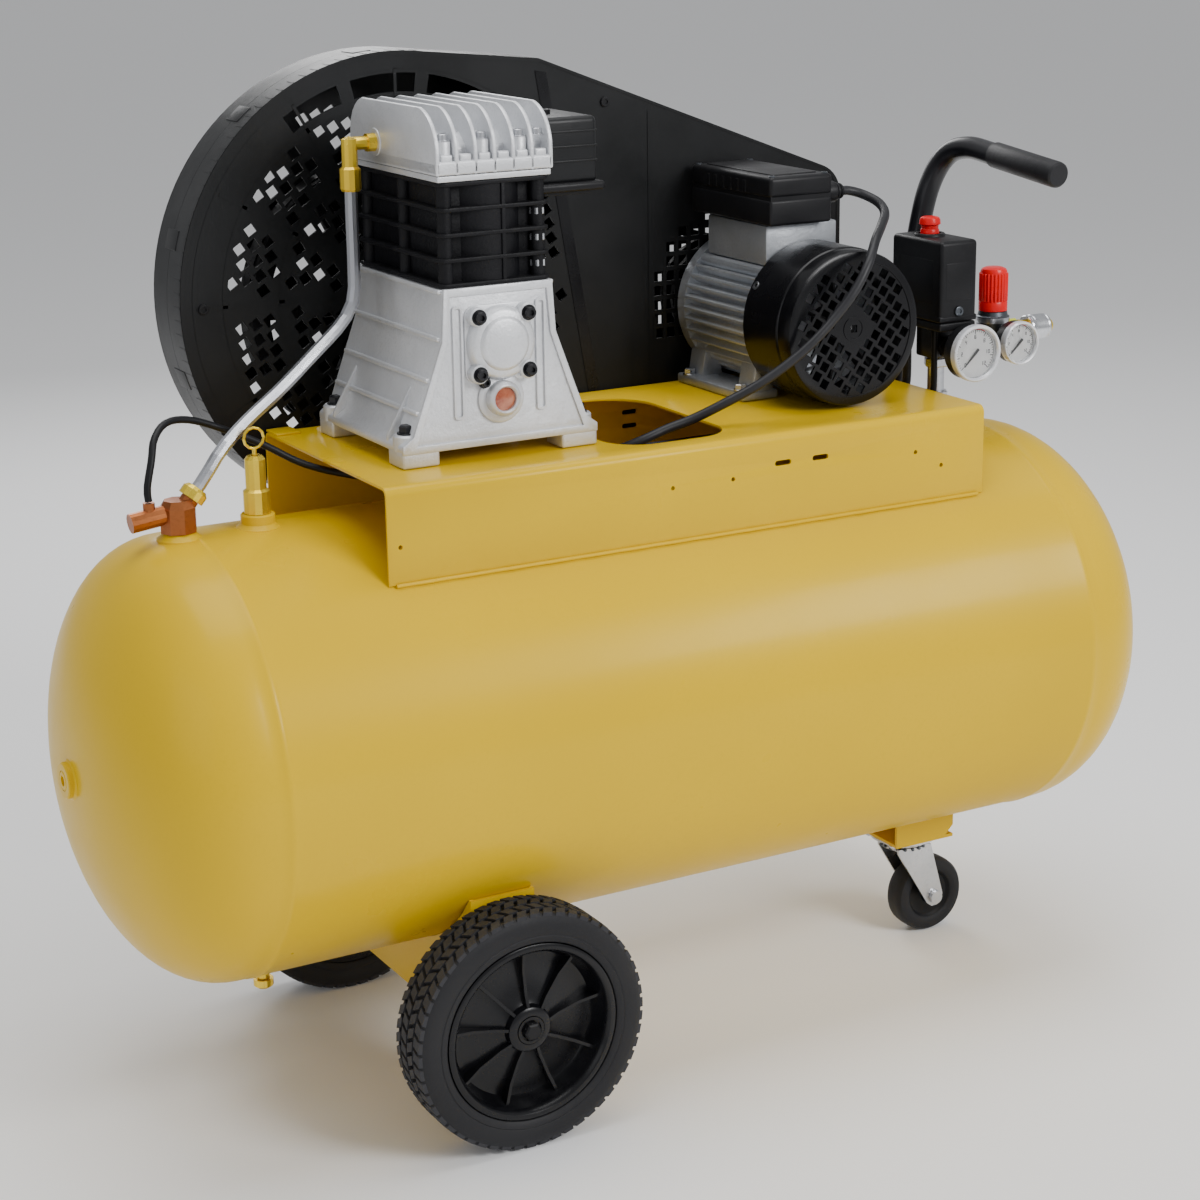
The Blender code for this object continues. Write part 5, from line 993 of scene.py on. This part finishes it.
def rounded_corner(before, here, after, radius, count=8):
    a, b = (before - here).normalized(), (after - here).normalized()
    half = math.acos(max(-1, min(1, a.dot(b)))) / 2
    back = radius / math.tan(half)
    centre = here + (a + b).normalized() * (radius / math.sin(half))
    start, end = here + a * back - centre, here + b * back - centre
    turn = start.angle(end)
    axis = start.cross(end).normalized()
    return [(centre + Matrix.Rotation(turn * i / count, 3, axis) @ start)[:2] for i in range(count + 1)]


def guard_outline(inset=0.0):
    """The round end's arc, then the rounded corners of the motor's end."""
    rim = arc(GUARD_CENTRE, GUARD_RADIUS - inset, 82, 278, 72)
    path = list(rim)
    ring = [rim[-1]] + [(x, z) for x, z, _ in GUARD_CORNERS] + [rim[0]]
    inside = Vector((0.1, 0.37, 0))
    for i, (_, _, radius) in enumerate(GUARD_CORNERS):
        before, here, after = (Vector((*ring[i + k], 0)) for k in (0, 1, 2))
        for x, z in rounded_corner(before, here, after, radius):
            inward = (inside - Vector((x, z, 0))).normalized()
            path.append((x + inward.x * inset, z + inward.y * inset))
    return [(x, axis_z(z)) for x, z in path]


def grid_holes(turn, inner, outer, pitch, side, offset=(0.0, 0.0)):
    """Square holes on a turned grid inside a ring of the guard's round, left out along its spokes."""
    spin = math.radians(turn)
    found = []
    for i in range(-17, 18):
        for j in range(-17, 18):
            u, v = (i + 0.5) * pitch, (j + 0.5) * pitch
            x = u * math.cos(spin) - v * math.sin(spin) + offset[0]
            z = u * math.sin(spin) + v * math.cos(spin) + offset[1]
            reach = math.hypot(x, z)
            around = math.degrees(math.atan2(z, x)) % 30
            off = min(around, 30 - around)
            if inner < reach < outer and reach * math.radians(off) > 0.0085:
                found.append(square_hole(GUARD_CENTRE[0] + x, axis_z(GUARD_CENTRE[1] + z), side, turn))
    return found


def guard_band(inner, outer, start, end, count):
    """A band between two arcs about the guard's round."""
    return arc(GUARD_MIDDLE, outer, start, end, count) + arc(GUARD_MIDDLE, inner, end, start, count)


def vent_pattern(rear):
    pitch, side = 0.0132, 0.0092
    grid = (0.0136, 0.0095, (0.0284, -0.011)) if rear else (pitch, side)
    holes = grid_holes(10, 0.052, 0.108, *grid) + grid_holes(10, 0.119, 0.16, *grid)
    if not rear:
        holes += [guard_band(0.17, 0.186, start, end, 10) for start, end in ((62, 80), (84, 103), (107, 124))]
    for i in range(-8, 8):
        for j in range(-9, 10):
            x, z = MOTOR_X + i * pitch, MOTOR_RISE + j * pitch
            reach = math.hypot(x - MOTOR_X, z - MOTOR_RISE)
            far = math.hypot(x - GUARD_CENTRE[0], z - GUARD_CENTRE[1])
            if 0.04 < reach < 0.088 and x < 0.3 and 0.262 < z < 0.409 - (x - 0.2) * 0.32 and far > GUARD_RADIUS:
                holes.append(square_hole(x, axis_z(z), side, 0))
    return holes


def on_rim(piece, radius, turn):
    """A piece moved onto the guard's round edge, its up side outwards."""
    x, z = on_circle(radius, turn)
    return spun(piece, (GUARD_MIDDLE[0] + x, 0, GUARD_MIDDLE[1] + z), math.pi / 2 - turn)


def make_guard(rear):
    word, side = ("rear", 1) if rear else ("front", -1)
    wall, raise_by = 0.0025, 0.0009 * side
    face = GUARD_BACK - wall if rear else GUARD_FRONT
    lip = (0.1722, GUARD_BACK - wall + 0.0004) if rear else (GUARD_FRONT + wall - 0.0004, 0.1718)
    out = face + wall if rear else face
    edge = guard_outline()
    openings = vent_pattern(rear)
    if not rear:
        openings += [arc((PUMP_X, CRANK_Z), 0.03, 0, 352.5, 47), arc((MOTOR_X, MOTOR_Z), 0.024, 0, 352.5, 47)]
    pieces = [flat("face", [edge] + openings, "XZ", face, wall),
              flat("rim", [edge, guard_outline(wall)], "XZ", lip[0], lip[1] - lip[0]),
              flat("ring", [arc(GUARD_MIDDLE, r, 0, 356, 90) for r in (0.1155, 0.1105)], "XZ", out, raise_by)]
    for inner, outer in ((0.162, 0.1665), (0.1895, 0.1935)):
        pieces.append(flat("ring", [guard_band(inner, outer, 48, 262, 64)], "XZ", out, raise_by))
    half = 0.0014
    for angle in range(0, 360, 30):
        reach = 0.16 if angle < 48 or angle > 262 else 0.19
        cos, sin = on_circle(1.0, math.radians(angle))
        spoke = [(GUARD_MIDDLE[0] + r * cos - s * half * sin, GUARD_MIDDLE[1] + r * sin + s * half * cos)
                 for r, s in ((0.05, -1), (reach, -1), (reach, 1), (0.05, 1))]
        pieces.append(flat("spoke", [spoke], "XZ", out, raise_by))
    pieces.append(flat("bead", [guard_outline(0.0004), guard_outline(0.0042)], "XZ", out, 0.001 * side))
    low = axis_z(0.226)
    groove = [(0.118, low), (0.1206, low), (0.1206, axis_z(0.478)), (0.118, axis_z(0.479))]
    pieces.append(flat("groove", [groove], "XZ", out, 0.0012 * side))
    band = mm((4, 520), (15, 518), (64, 230), (53, 228))
    strip = flat(word + "_cover_strip", [[(x, axis_z(z)) for x, z in band]], "XZ", out, 0.0014 * side)
    show(strip, GLOSS_BLACK)
    for i in range(5):
        x = 0.1 + i * 0.023
        rib = [(x, low), (x + 0.0032, low), (x + 0.0032, axis_z(0.29)), (x, axis_z(0.29))]
        pieces.append(flat("groove_rib", [rib], "XZ", out, raise_by))
    if not rear:
        for angle in (96, 130, 164, 198, 232):
            tab = block("tab", (-0.0085, 0.16, -0.0012), (0.0085, 0.185, 0.0009), 0.0005)
            pieces.append(on_rim(tab, 0.204, math.radians(angle)))
        for i in range(60):
            tick = block("tick", (-0.0005, 0.1425, -0.0008), (0.0005, 0.156, 0.0004))
            pieces.append(on_rim(tick, 0.2043, math.radians(84 + i * 194 / 59)))
    show(gather(word + "_belt_cover", pieces, 30), GUARD_BLACK, "frame", "guard_" + word)
    for n, x, z in ((0, 0.074, 0.489), (1, 0.308, 0.395), (2, 0.29, 0.235), (4, -0.315, 0.339)):
        name = "%s_cover_screw_%d" % (word, n)
        show(bolt(name, (0, side, 0), (x, out, axis_z(z)), 0.0052, 0.0022, False, True), BLACK)


make_guard(False)
make_guard(True)


# ---------------------------------------------------------------- drive
def make_drive():
    wheel, spokes = (PUMP_X, BELT_Y, CRANK_Z), 6
    edge = mm((108, 14), (120, 15), (124.5, 14.5), (125, 8), (118.5, 5.2), (114, 4.5))
    rim = edge + [(r, -h) for r, h in reversed(edge)]
    hub = mm((14, 18), (23, 18), (25, 16.5), (27, -15), (14, -15))
    pieces = [turned("rim", rim, "Y", wheel, 96, ring=True), turned("hub", hub, "Y", wheel, 48, ring=True)]
    spoke = mm((20, -9.5), (112, -6.2), (112, 6.2), (20, 9.5))
    for i in range(spokes):
        pieces.append(spun(flat("spoke", [spoke], "XZ", -0.006, 0.012, 0.002), wheel, 2 * math.pi * i / spokes))
    show(gather("crank_flywheel", pieces, 40), BLACK_IRON, "crank", "flywheel")


make_drive()
repaint(BLACK_IRON, "motor_pulley")
repaint(BLACK, "drive_belt")


# ---------------------------------------------------------------- motor
def make_motor():
    outer, root, bore = 0.066, 0.059, 0.0532
    fin = ((-0.36, root), (-0.13, outer - 0.0006), (-0.09, outer), (0.09, outer), (0.13, outer - 0.0006), (0.36, root))
    hollow = arc((MOTOR_X, MOTOR_Z), bore, 0, 352, 56)
    pieces = [flat("fins", [toothed((MOTOR_X, MOTOR_Z), 40, fin), hollow], "XZ", 0.0125, 0.11)]
    near = [(bore, 0.012), (0.06, 0.012), (0.0655, 0.0105), (0.066, 0.002), (0.064, 0.0), (bore, 0.0)]
    pieces.append(turned("near_shield", near, (0, 1, 0), (MOTOR_X, 0.0005, MOTOR_Z), 72, ring=True))
    far = mm((24, 6), (30, 13.5), (56, 13.5), (64, 11), (65.8, 8), (65.8, -4), (24, -4))
    pieces.append(turned("far_shield", far, (0, 1, 0), (MOTOR_X, 0.122, MOTOR_Z), 72, ring=True))
    for i in range(4):
        x, z = on_circle(0.06, math.radians(45 + 90 * i))
        pieces.append(rod("lug", "Y", (MOTOR_X + x, 0.016, MOTOR_Z + z), 0.115, 0.0058, 20, 0.001))
    for side in (-1, 1):
        left, right = sorted((MOTOR_X + side * 0.03, MOTOR_X + side * 0.068))
        pieces.append(block("sole", (left, 0.014, plate_z(0.0003)), (right, 0.128, plate_z(0.009)), 0.0022))
        leg = mm((34, 4), (58, 4), (52, 40), (38, 30))
        for y in (0.015, 0.101):
            outline = [(MOTOR_X + side * x, plate_z(z)) for x, z in leg]
            pieces.append(flat("leg", [outline], "XZ", y, 0.025, 0.0015))
    seat = [(0.164, plate_z(0.12)), (0.239, plate_z(0.12)), (0.239, plate_z(0.1556)), (0.164, plate_z(0.1556))]
    pieces.append(flat("box_seat", [seat], "XZ", 0.014, 0.098, 0.002))
    show(gather("motor_casting", pieces, 35), MOTOR_CAST, "frame", "motor_housing")
    seats = [(MOTOR_X + side * 0.062, y, plate_z(0.0088)) for side in (-1, 1) for y in (0.0275, 0.115)]
    bolts("motor_bolt", "Z", seats, 0.0056, 0.005, TURNED_STEEL)


def make_cowl():
    front = -0.0605
    grille = arc((MOTOR_X, MOTOR_Z), 0.062, 0, 355, 72)
    holes = []
    pitch, side = 0.0108, 0.0078
    for i in range(-7, 8):
        for j in range(-7, 8):
            u, v = i * pitch, j * pitch
            x, z = (u - v) * math.sqrt(0.5), (u + v) * math.sqrt(0.5)
            if 0.017 < math.hypot(x, z) < 0.056:
                holes.append(square_hole(MOTOR_X + x, MOTOR_Z + z, side, 45))
    holes.append(square_hole(MOTOR_X, MOTOR_Z, 0.0066, 0))
    pieces = [flat("grille", [grille] + holes, "XZ", front + 0.0008, 0.0022)]
    shell = mm((60, 3.4), (60, 0), (64.5, 0), (67.2, 1), (68.2, 3), (68.4, 18), (69.3, 19), (69.5, 20.5),
               (69.5, 72), (67.2, 72.2), (66.8, 22.5), (66, 6))
    pieces.append(turned("shell", shell, (0, 1, 0), (MOTOR_X, front, MOTOR_Z), 112, ring=True))
    hub = mm((8.5, 0), (11, 0), (11, 3.4), (8.5, 3.4))
    pieces.append(turned("hub", hub, (0, 1, 0), (MOTOR_X, front + 0.0002, MOTOR_Z), 40, ring=True))
    show(gather("fan_cowl", pieces, 35), GLOSS_BLACK, "frame", "fan_cover")
    for n, angle in enumerate((30, 150, 270)):
        x, z = on_circle(1.0, math.radians(angle))
        out = Vector((x, 0, z))
        seat = Vector((MOTOR_X, 0.005, MOTOR_Z)) + out * 0.0684
        show(bolt("cowl_screw_%d" % n, out, seat, 0.0046, 0.0018, False, True), TURNED_STEEL)


def make_terminal_box():
    low, high = plate_z(0.1565), plate_z(0.2005)
    left, right, near, far = 0.159, 0.225, 0.0, 0.134
    pieces = [block("tray", (left + 0.0005, near + 0.0005, low), (right - 0.0005, far - 0.0005, low + 0.023), 0.003),
              block("lid", (left, near, low + 0.0245), (right, far, high - 0.001), 0.0042, 4),
              block("seam", (left + 0.0015, near + 0.0015, low + 0.02), (right - 0.0015, far - 0.0015, low + 0.028))]
    for i in range(6):
        y = near + 0.04 + i * 0.012
        for x1, x2 in ((right - 0.0012, right + 0.0003), (left - 0.0003, left + 0.0012)):
            pieces.append(block("vent", (x1, y, low + 0.0265), (x2, y + 0.0055, high - 0.0065), 0.0005))
    pieces.append(block("raise", (left + 0.01, near + 0.012, high - 0.0016),
                        (right - 0.01, far - 0.012, high - 0.0001), 0.0006))
    show(gather("wiring_box", pieces, 40), BLACK, "frame", "terminal_box")
    seats = [(x, y, high - 0.0014) for x in (left + 0.0055, right - 0.0055) for y in (near + 0.006, far - 0.006)]
    bolts("box_screw", "Z", seats, 0.0036, 0.0012, DARK_STEEL, False, True)
    gland = mm((4.6, 17.5), (6.6, 17.2), (7.2, 16), (7.2, 15), (6.4, 14.5), (6.6, 13), (7.8, 12.5), (7.8, 11.2),
               (7.2, 10.8), (7.6, 9.6), (9.4, 9), (9.8, 2), (9.2, 0.2), (4.6, 0.2))
    nut = turned("lead_gland", gland, (1, 0, 0), (right, 0.014, plate_z(0.181)), 36, ring=True)
    show(nut, BLACK, "frame", "cable_gland")


make_motor()
make_cowl()
make_terminal_box()


# ---------------------------------------------------------------- switch, regulator and gauges
def make_switch():
    low, top = axis_z(0.283), axis_z(0.365)
    left, right, near, far = 0.315, 0.356, -0.0405, 0.0355
    base = [block("base", (left + 0.0005, near + 0.0005, low + 0.0003),
                  (right - 0.0005, far - 0.0005, low + 0.0078), 0.0016)]
    socket = mm((5, -0.2), (7.4, -0.2), (7.8, 3), (5, 3))
    base += [turned("socket", socket, "Z", (0.3235, y, low), 24, ring=True) for y in (-0.0225, 0.0205)]
    show(gather("switch_tray", base, 40), BLACK, "frame", "switch_base")
    collar = mm((10.4, 2.6), (13.2, 2.6), (14.2, 1.6), (14.6, -2), (10.4, -2))
    cover = [block("cover", (left, near, low + 0.0086), (right, far, top - 0.0004), 0.0042, 4),
             block("step", (left - 0.0001, near - 0.0001, low + 0.0086),
                   (right + 0.0001, far + 0.0001, low + 0.014), 0.0012),
             turned("collar", collar, "Z", (SWITCH_X, 0.004, top - 0.0006), 40, ring=True),
             block("pad", (left + 0.006, near - 0.0002, low + 0.028), (right - 0.006, near + 0.002, low + 0.062),
                   0.0006),
             block("pad", (left - 0.0002, near + 0.012, low + 0.024), (left + 0.002, far - 0.012, low + 0.064),
                   0.0006)]
    show(gather("switch_shell", cover, 40), BLACK, "frame", "switch_cover")
    seat = (0.3355, near - 0.0001, low + 0.018)
    show(bolt("cover_fixing", (0, -1, 0), seat, 0.0052, 0.0018, False, True), DARK_STEEL)
    knob = mm((0, 16.5), (6.8, 16.5), (8.4, 15.8), (9.4, 14), (9.8, 10), (8, 8.8), (7.8, 6), (8.6, 4.8), (8.6, 0.5),
              (0, 0.5))
    show(turned("pull_knob", knob, "Z", (SWITCH_X, 0.004, top), 40), RED, "switch_button", "switch_knob")


def make_pipework():
    riser = mm((6.2, 196.2), (9.5, 196.2), (9.5, 206.5), (7.8, 207.5), (7.8, 253.2), (6.2, 253.2))
    pipe = turned("pipe", [(r, axis_z(z)) for r, z in riser], "Z", (RISER_X, 0, 0), 32, ring=True)
    nut = rod("nut", "Z", (RISER_X, 0, axis_z(0.21)), 0.011, 0.0122, 6, 0.0008)
    lock = rod("lock", "Z", (RISER_X, 0, axis_z(0.244)), 0.008, 0.0118, 6, 0.0008)
    body = block("manifold", (0.3283, -0.0137, axis_z(0.2533)), (0.3557, 0.0137, axis_z(0.2824)), 0.0022)
    port = mm((0, 41), (7.6, 41), (7.6, 20), (10.4, 19.5), (10.4, 0), (0, 0))
    front = turned("front_port", port, (0, -1, 0), (RISER_X, -0.0002, axis_z(GAUGE_RISE)), 6)
    show(gather("outlet_manifold", [body, front], 35), BLACK_PAINT, "frame", "riser_manifold")
    show(gather("riser_pipe", [pipe, nut, lock], 35), TURNED_STEEL)


def make_regulator():
    x = REGULATOR_X
    low = mm((0, 248), (11, 248), (13.5, 249.5), (14.8, 252), (15, 278), (15.5, 279), (15.5, 284.5), (14, 285.5),
             (13.2, 289), (0, 289))
    body = turned("body", [(r, axis_z(z)) for r, z in low], "Z", (x, 0, 0), 56)
    inlet = rod("inlet", "X", (0.3562, 0, axis_z(OUTLET_RISE)), x - 0.3562 - 0.006, 0.0078, 28)
    inlet_nut = rod("inlet_nut", "X", (0.37, 0, axis_z(OUTLET_RISE)), 0.0105, 0.0108, 6, 0.0008)
    stem = rod("stem", "Y", (x, -0.0245, axis_z(GAUGE_RISE)), 0.0225, 0.007, 6)
    show(gather("regulator_case", [body, inlet, inlet_nut, stem], 35), DARK_STEEL, "frame", "regulator_body")
    ring = mm((13.4, 0), (15.8, 0), (16, 1.2), (15.8, 4.8), (13.4, 5))
    show(turned("regulator_ring", ring, "Z", (x, 0, axis_z(0.279)), 48, ring=True), TURNED_STEEL)
    groove, crest = 0.0123, 0.0136
    outline = toothed((x, 0), 24, ((-0.34, groove), (-0.18, crest), (0.18, crest), (0.34, groove)))
    grip = flat("grip", [outline], "XY", axis_z(0.2985), 0.026, 0.0008)
    crown = mm((0, 329.8), (8, 329.8), (11.2, 328.5), (12.4, 326.2), (12.4, 323.5), (0, 323.5))
    skirt = mm((0, 299), (12.6, 299), (13.4, 297.5), (13.4, 289.8), (0, 289.8))
    ends = [turned("end", profile, "Z", (x, 0, AXIS_HEIGHT), 40) for profile in (crown, skirt)]
    show(gather("regulator_cap", [grip] + ends, 35), RED, "regulator_dial", "regulator_knob")


DIGITS = {
    "0": [[(0, 0), (1, 0), (1, 2), (0, 2), (0, 0)]],
    "1": [[(0.5, 0), (0.5, 2)]],
    "2": [[(0, 2), (1, 2), (1, 1), (0, 1), (0, 0), (1, 0)]],
    "4": [[(0, 2), (0, 1), (1, 1)], [(1, 2), (1, 0)]],
    "6": [[(1, 2), (0, 2), (0, 0), (1, 0), (1, 1), (0, 1)]],
    "8": [[(0, 0), (1, 0), (1, 2), (0, 2), (0, 0)], [(0, 1), (1, 1)]],
}


def make_gauge(name, x, face, radius, depth):
    """A round gauge whose scale sweeps 270 degrees from the lower left; its needle keeps its own node."""
    z = axis_z(GAUGE_RISE)
    centre, front, ink_depth = (x, face, z), face + 0.0055, 0.00012
    sweep, first = 270, 225
    cup = [(0, depth), (radius * 0.55, depth), (radius * 0.9, depth - 0.002), (radius * 0.965, depth - 0.005),
           (radius * 0.975, 0.004), (radius * 0.9, 0.006), (0, 0.006)]
    show(turned(name + "_case", cup, (0, 1, 0), centre, 64), BLACK, "frame", name)
    ring = [(radius * 0.86, 0.0064), (radius * 0.86, 0.0018), (radius * 0.9, 0.0004), (radius * 0.96, 0.0),
            (radius * 0.995, 0.001), (radius, 0.003), (radius * 0.995, 0.007), (radius * 0.96, 0.0076)]
    show(turned(name + "_bezel", ring, (0, 1, 0), centre, 72, ring=True), BEZEL)
    dial = [(0, 0.0055), (radius * 0.865, 0.0055), (radius * 0.865, 0.0064), (0, 0.0064)]
    show(turned(name + "_dial", dial, (0, 1, 0), centre, 64), DIAL)
    ink = []
    for i in range(41):
        length, width = (0.13, 0.00035) if i % 5 == 0 else (0.07, 0.00018)
        mark = block("tick", (radius * (0.8 - length), -ink_depth, -width), (radius * 0.8, 0.0, width))
        ink.append(spun(mark, (x, front, z), -math.radians(first - sweep * i / 40)))
    rims = [arc((x, z), radius * r, first - sweep, first, 48) for r in (0.815, 0.8)]
    ink.append(flat("scale", [rims[0] + list(reversed(rims[1]))], "XZ", front - ink_depth, ink_depth))
    size = radius * 0.058
    pen, advance = size * 0.16, 1.6
    for i, text in enumerate(("0", "2", "4", "6", "8", "10", "12")):
        across, up = on_circle(radius * 0.56, math.radians(first - sweep * i / 6))
        left = x + across - (len(text) * advance * size - 0.6 * size) / 2
        for k, digit in enumerate(text):
            for stroke in DIGITS[digit]:
                corners = [(left + (k * advance + u) * size, z + up + (v - 1) * size) for u, v in stroke]
                for a, b in zip(corners, corners[1:]):
                    ink.append(block("pen", (min(a[0], b[0]) - pen, front - ink_depth, min(a[1], b[1]) - pen),
                                     (max(a[0], b[0]) + pen, front, max(a[1], b[1]) + pen)))
    show(gather(name + "_scale", ink, 30), INK)
    band = arc((x, z), radius * 0.84, 60, 110, 16) + arc((x, z), radius * 0.815, 110, 60, 16)
    show(flat(name + "_band", [band], "XZ", front - ink_depth, ink_depth), RED)
    lens = [(0, 0.0016), (radius * 0.862, 0.002), (radius * 0.862, 0.0028), (0, 0.0024)]
    show(turned(name + "_lens", lens, (0, 1, 0), centre, 64), LENS)


make_switch()
make_pipework()
make_regulator()
make_gauge("tank_gauge", RISER_X, -0.063, 0.026, 0.022)
make_gauge("outlet_gauge", REGULATOR_X, -0.045, 0.02, 0.02)
repaint(INK, "tank_gauge_needle", "outlet_gauge_needle")


def make_coupler():
    z = axis_z(OUTLET_RISE)
    barrel = mm((3.2, 473.8), (5.6, 473.8), (6.6, 472.8), (7.6, 470), (7.6, 438), (8.6, 437.2), (8.6, 434.5),
                (7, 433.5), (7, 422), (3.2, 422))
    body = turned("barrel", barrel, (1, 0, 0), (0, 0, z), 40, ring=True)
    nut = rod("nut", "X", (0.4228, 0, z), 0.0105, 0.0104, 6, 0.0008)
    show(gather("coupler_barrel", [body], 35), YELLOW_BRASS, "frame", "coupler_body")
    show(gather("coupler_nut", [nut], 35), LIME)
    sleeve = mm((7.9, 444.8), (10.8, 444.8), (11.6, 445.6), (11.8, 447), (11.2, 448), (11.2, 450), (11.8, 450.8),
                (11.8, 464), (11.2, 464.8), (11.6, 466), (11, 467.8), (7.9, 467.8))
    grip = turned("coupler_grip", sleeve, (1, 0, 0), (0, 0, z), 48, ring=True)
    show(grip, TURNED_STEEL, "coupler_collar", "coupler_sleeve")


make_coupler()


# ---------------------------------------------------------------- handle and valves
HANDLE_TOP = mm((372.5, 52, 410), (380, 38, 432.5), (383.5, 13, 439.5), (384, -20, 437), (384, -70, 431.5),
                (384, -113, 426.8))


def make_handle():
    stem = [HANDLE_FOOT + HANDLE_LEAN * reach for reach in (0.0005, 0.1, 0.188)]
    route = smooth_route(stem + [Vector(knot) for knot in raised(HANDLE_TOP)], 0.005)
    show(settle(tube("handle_bar", route, 0.0102, 10), 50), BLACK_PAINT, "frame", "handle_tube")
    low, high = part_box("handle_grip")
    axis = (Vector(route[-1]) - Vector(route[-2])).normalized()
    end = Vector(route[-1]) + axis * 0.0022
    start = end - axis * (high[1] - low[1] - 0.004)
    length = (end - start).length
    sleeve = [(0.0103, 0.0), (0.011, 0.0), (0.0116, 0.001), (0.0117, length - 0.004), (0.0112, length - 0.0015),
              (0.0096, length), (0.0, length), (0.0, length - 0.0015), (0.0103, length - 0.0015)]
    show(turned("handle_sleeve", sleeve, axis, start, 40), GRIP, "frame", "handle_grip")


make_handle()
repaint(YELLOW_BRASS, "safety_valve_body", "safety_valve_ring", "drain_valve_body", "drain_valve_knob",
        "delivery_elbow", "check_valve_nut")
repaint(RED_BRASS, "check_valve")
repaint(BLACK, "mains_gland")
repaint(PIPE_ALLOY, "delivery_pipe")


# ---------------------------------------------------------------- studio
def area_light(name, place, target, size, power, tint=(1.0, 1.0, 1.0), size_y=None):
    data = bpy.data.lights.new(name, "AREA")
    data.energy, data.size, data.color = power, size, tint
    if size_y:
        data.shape, data.size_y = "RECTANGLE", size_y
    light = bpy.data.objects.new(name, data)
    bpy.context.scene.collection.objects.link(light)
    light.location = place
    light.rotation_euler = (Vector(target) - Vector(place)).to_track_quat("-Z", "Y").to_euler()


def make_studio():
    floor = bpy.data.materials.new("studio_floor")
    floor.use_nodes = True
    shader = floor.node_tree.nodes["Principled BSDF"]
    shader.inputs["Base Color"].default_value = (0.93, 0.93, 0.93, 1)
    shader.inputs["Roughness"].default_value = 0.75
    shader.inputs["Specular IOR Level"].default_value = 0.2
    data = bpy.data.meshes.new("studio_floor")
    far = 60
    data.from_pydata([(-far, -far, 0), (far, -far, 0), (far, far, 0), (-far, far, 0)], [], [(0, 1, 2, 3)])
    ground = bpy.data.objects.new("studio_floor", data)
    bpy.context.scene.collection.objects.link(ground)
    data.materials.append(floor)
    world = bpy.data.worlds.new("studio_world")
    world.use_nodes = True
    world.node_tree.nodes["Background"].inputs["Color"].default_value = (0.97, 0.98, 1.0, 1)
    world.node_tree.nodes["Background"].inputs["Strength"].default_value = 0.5
    bpy.context.scene.world = world
    area_light("key", (1.1, -2.6, 2.1), (0, 0, 0.45), 1.2, 68)
    area_light("left_fill", (-2.6, -0.9, 1.3), (0, 0, 0.4), 1.6, 7, (0.95, 0.97, 1.0))
    area_light("top_box", (0.0, 0.1, 2.9), (0, 0, 0.4), 2.2, 44, size_y=1.6)
    area_light("back_rim", (0.6, 2.4, 1.7), (0, 0, 0.5), 1.2, 20)


make_studio()

bpy.context.view_layer.update()
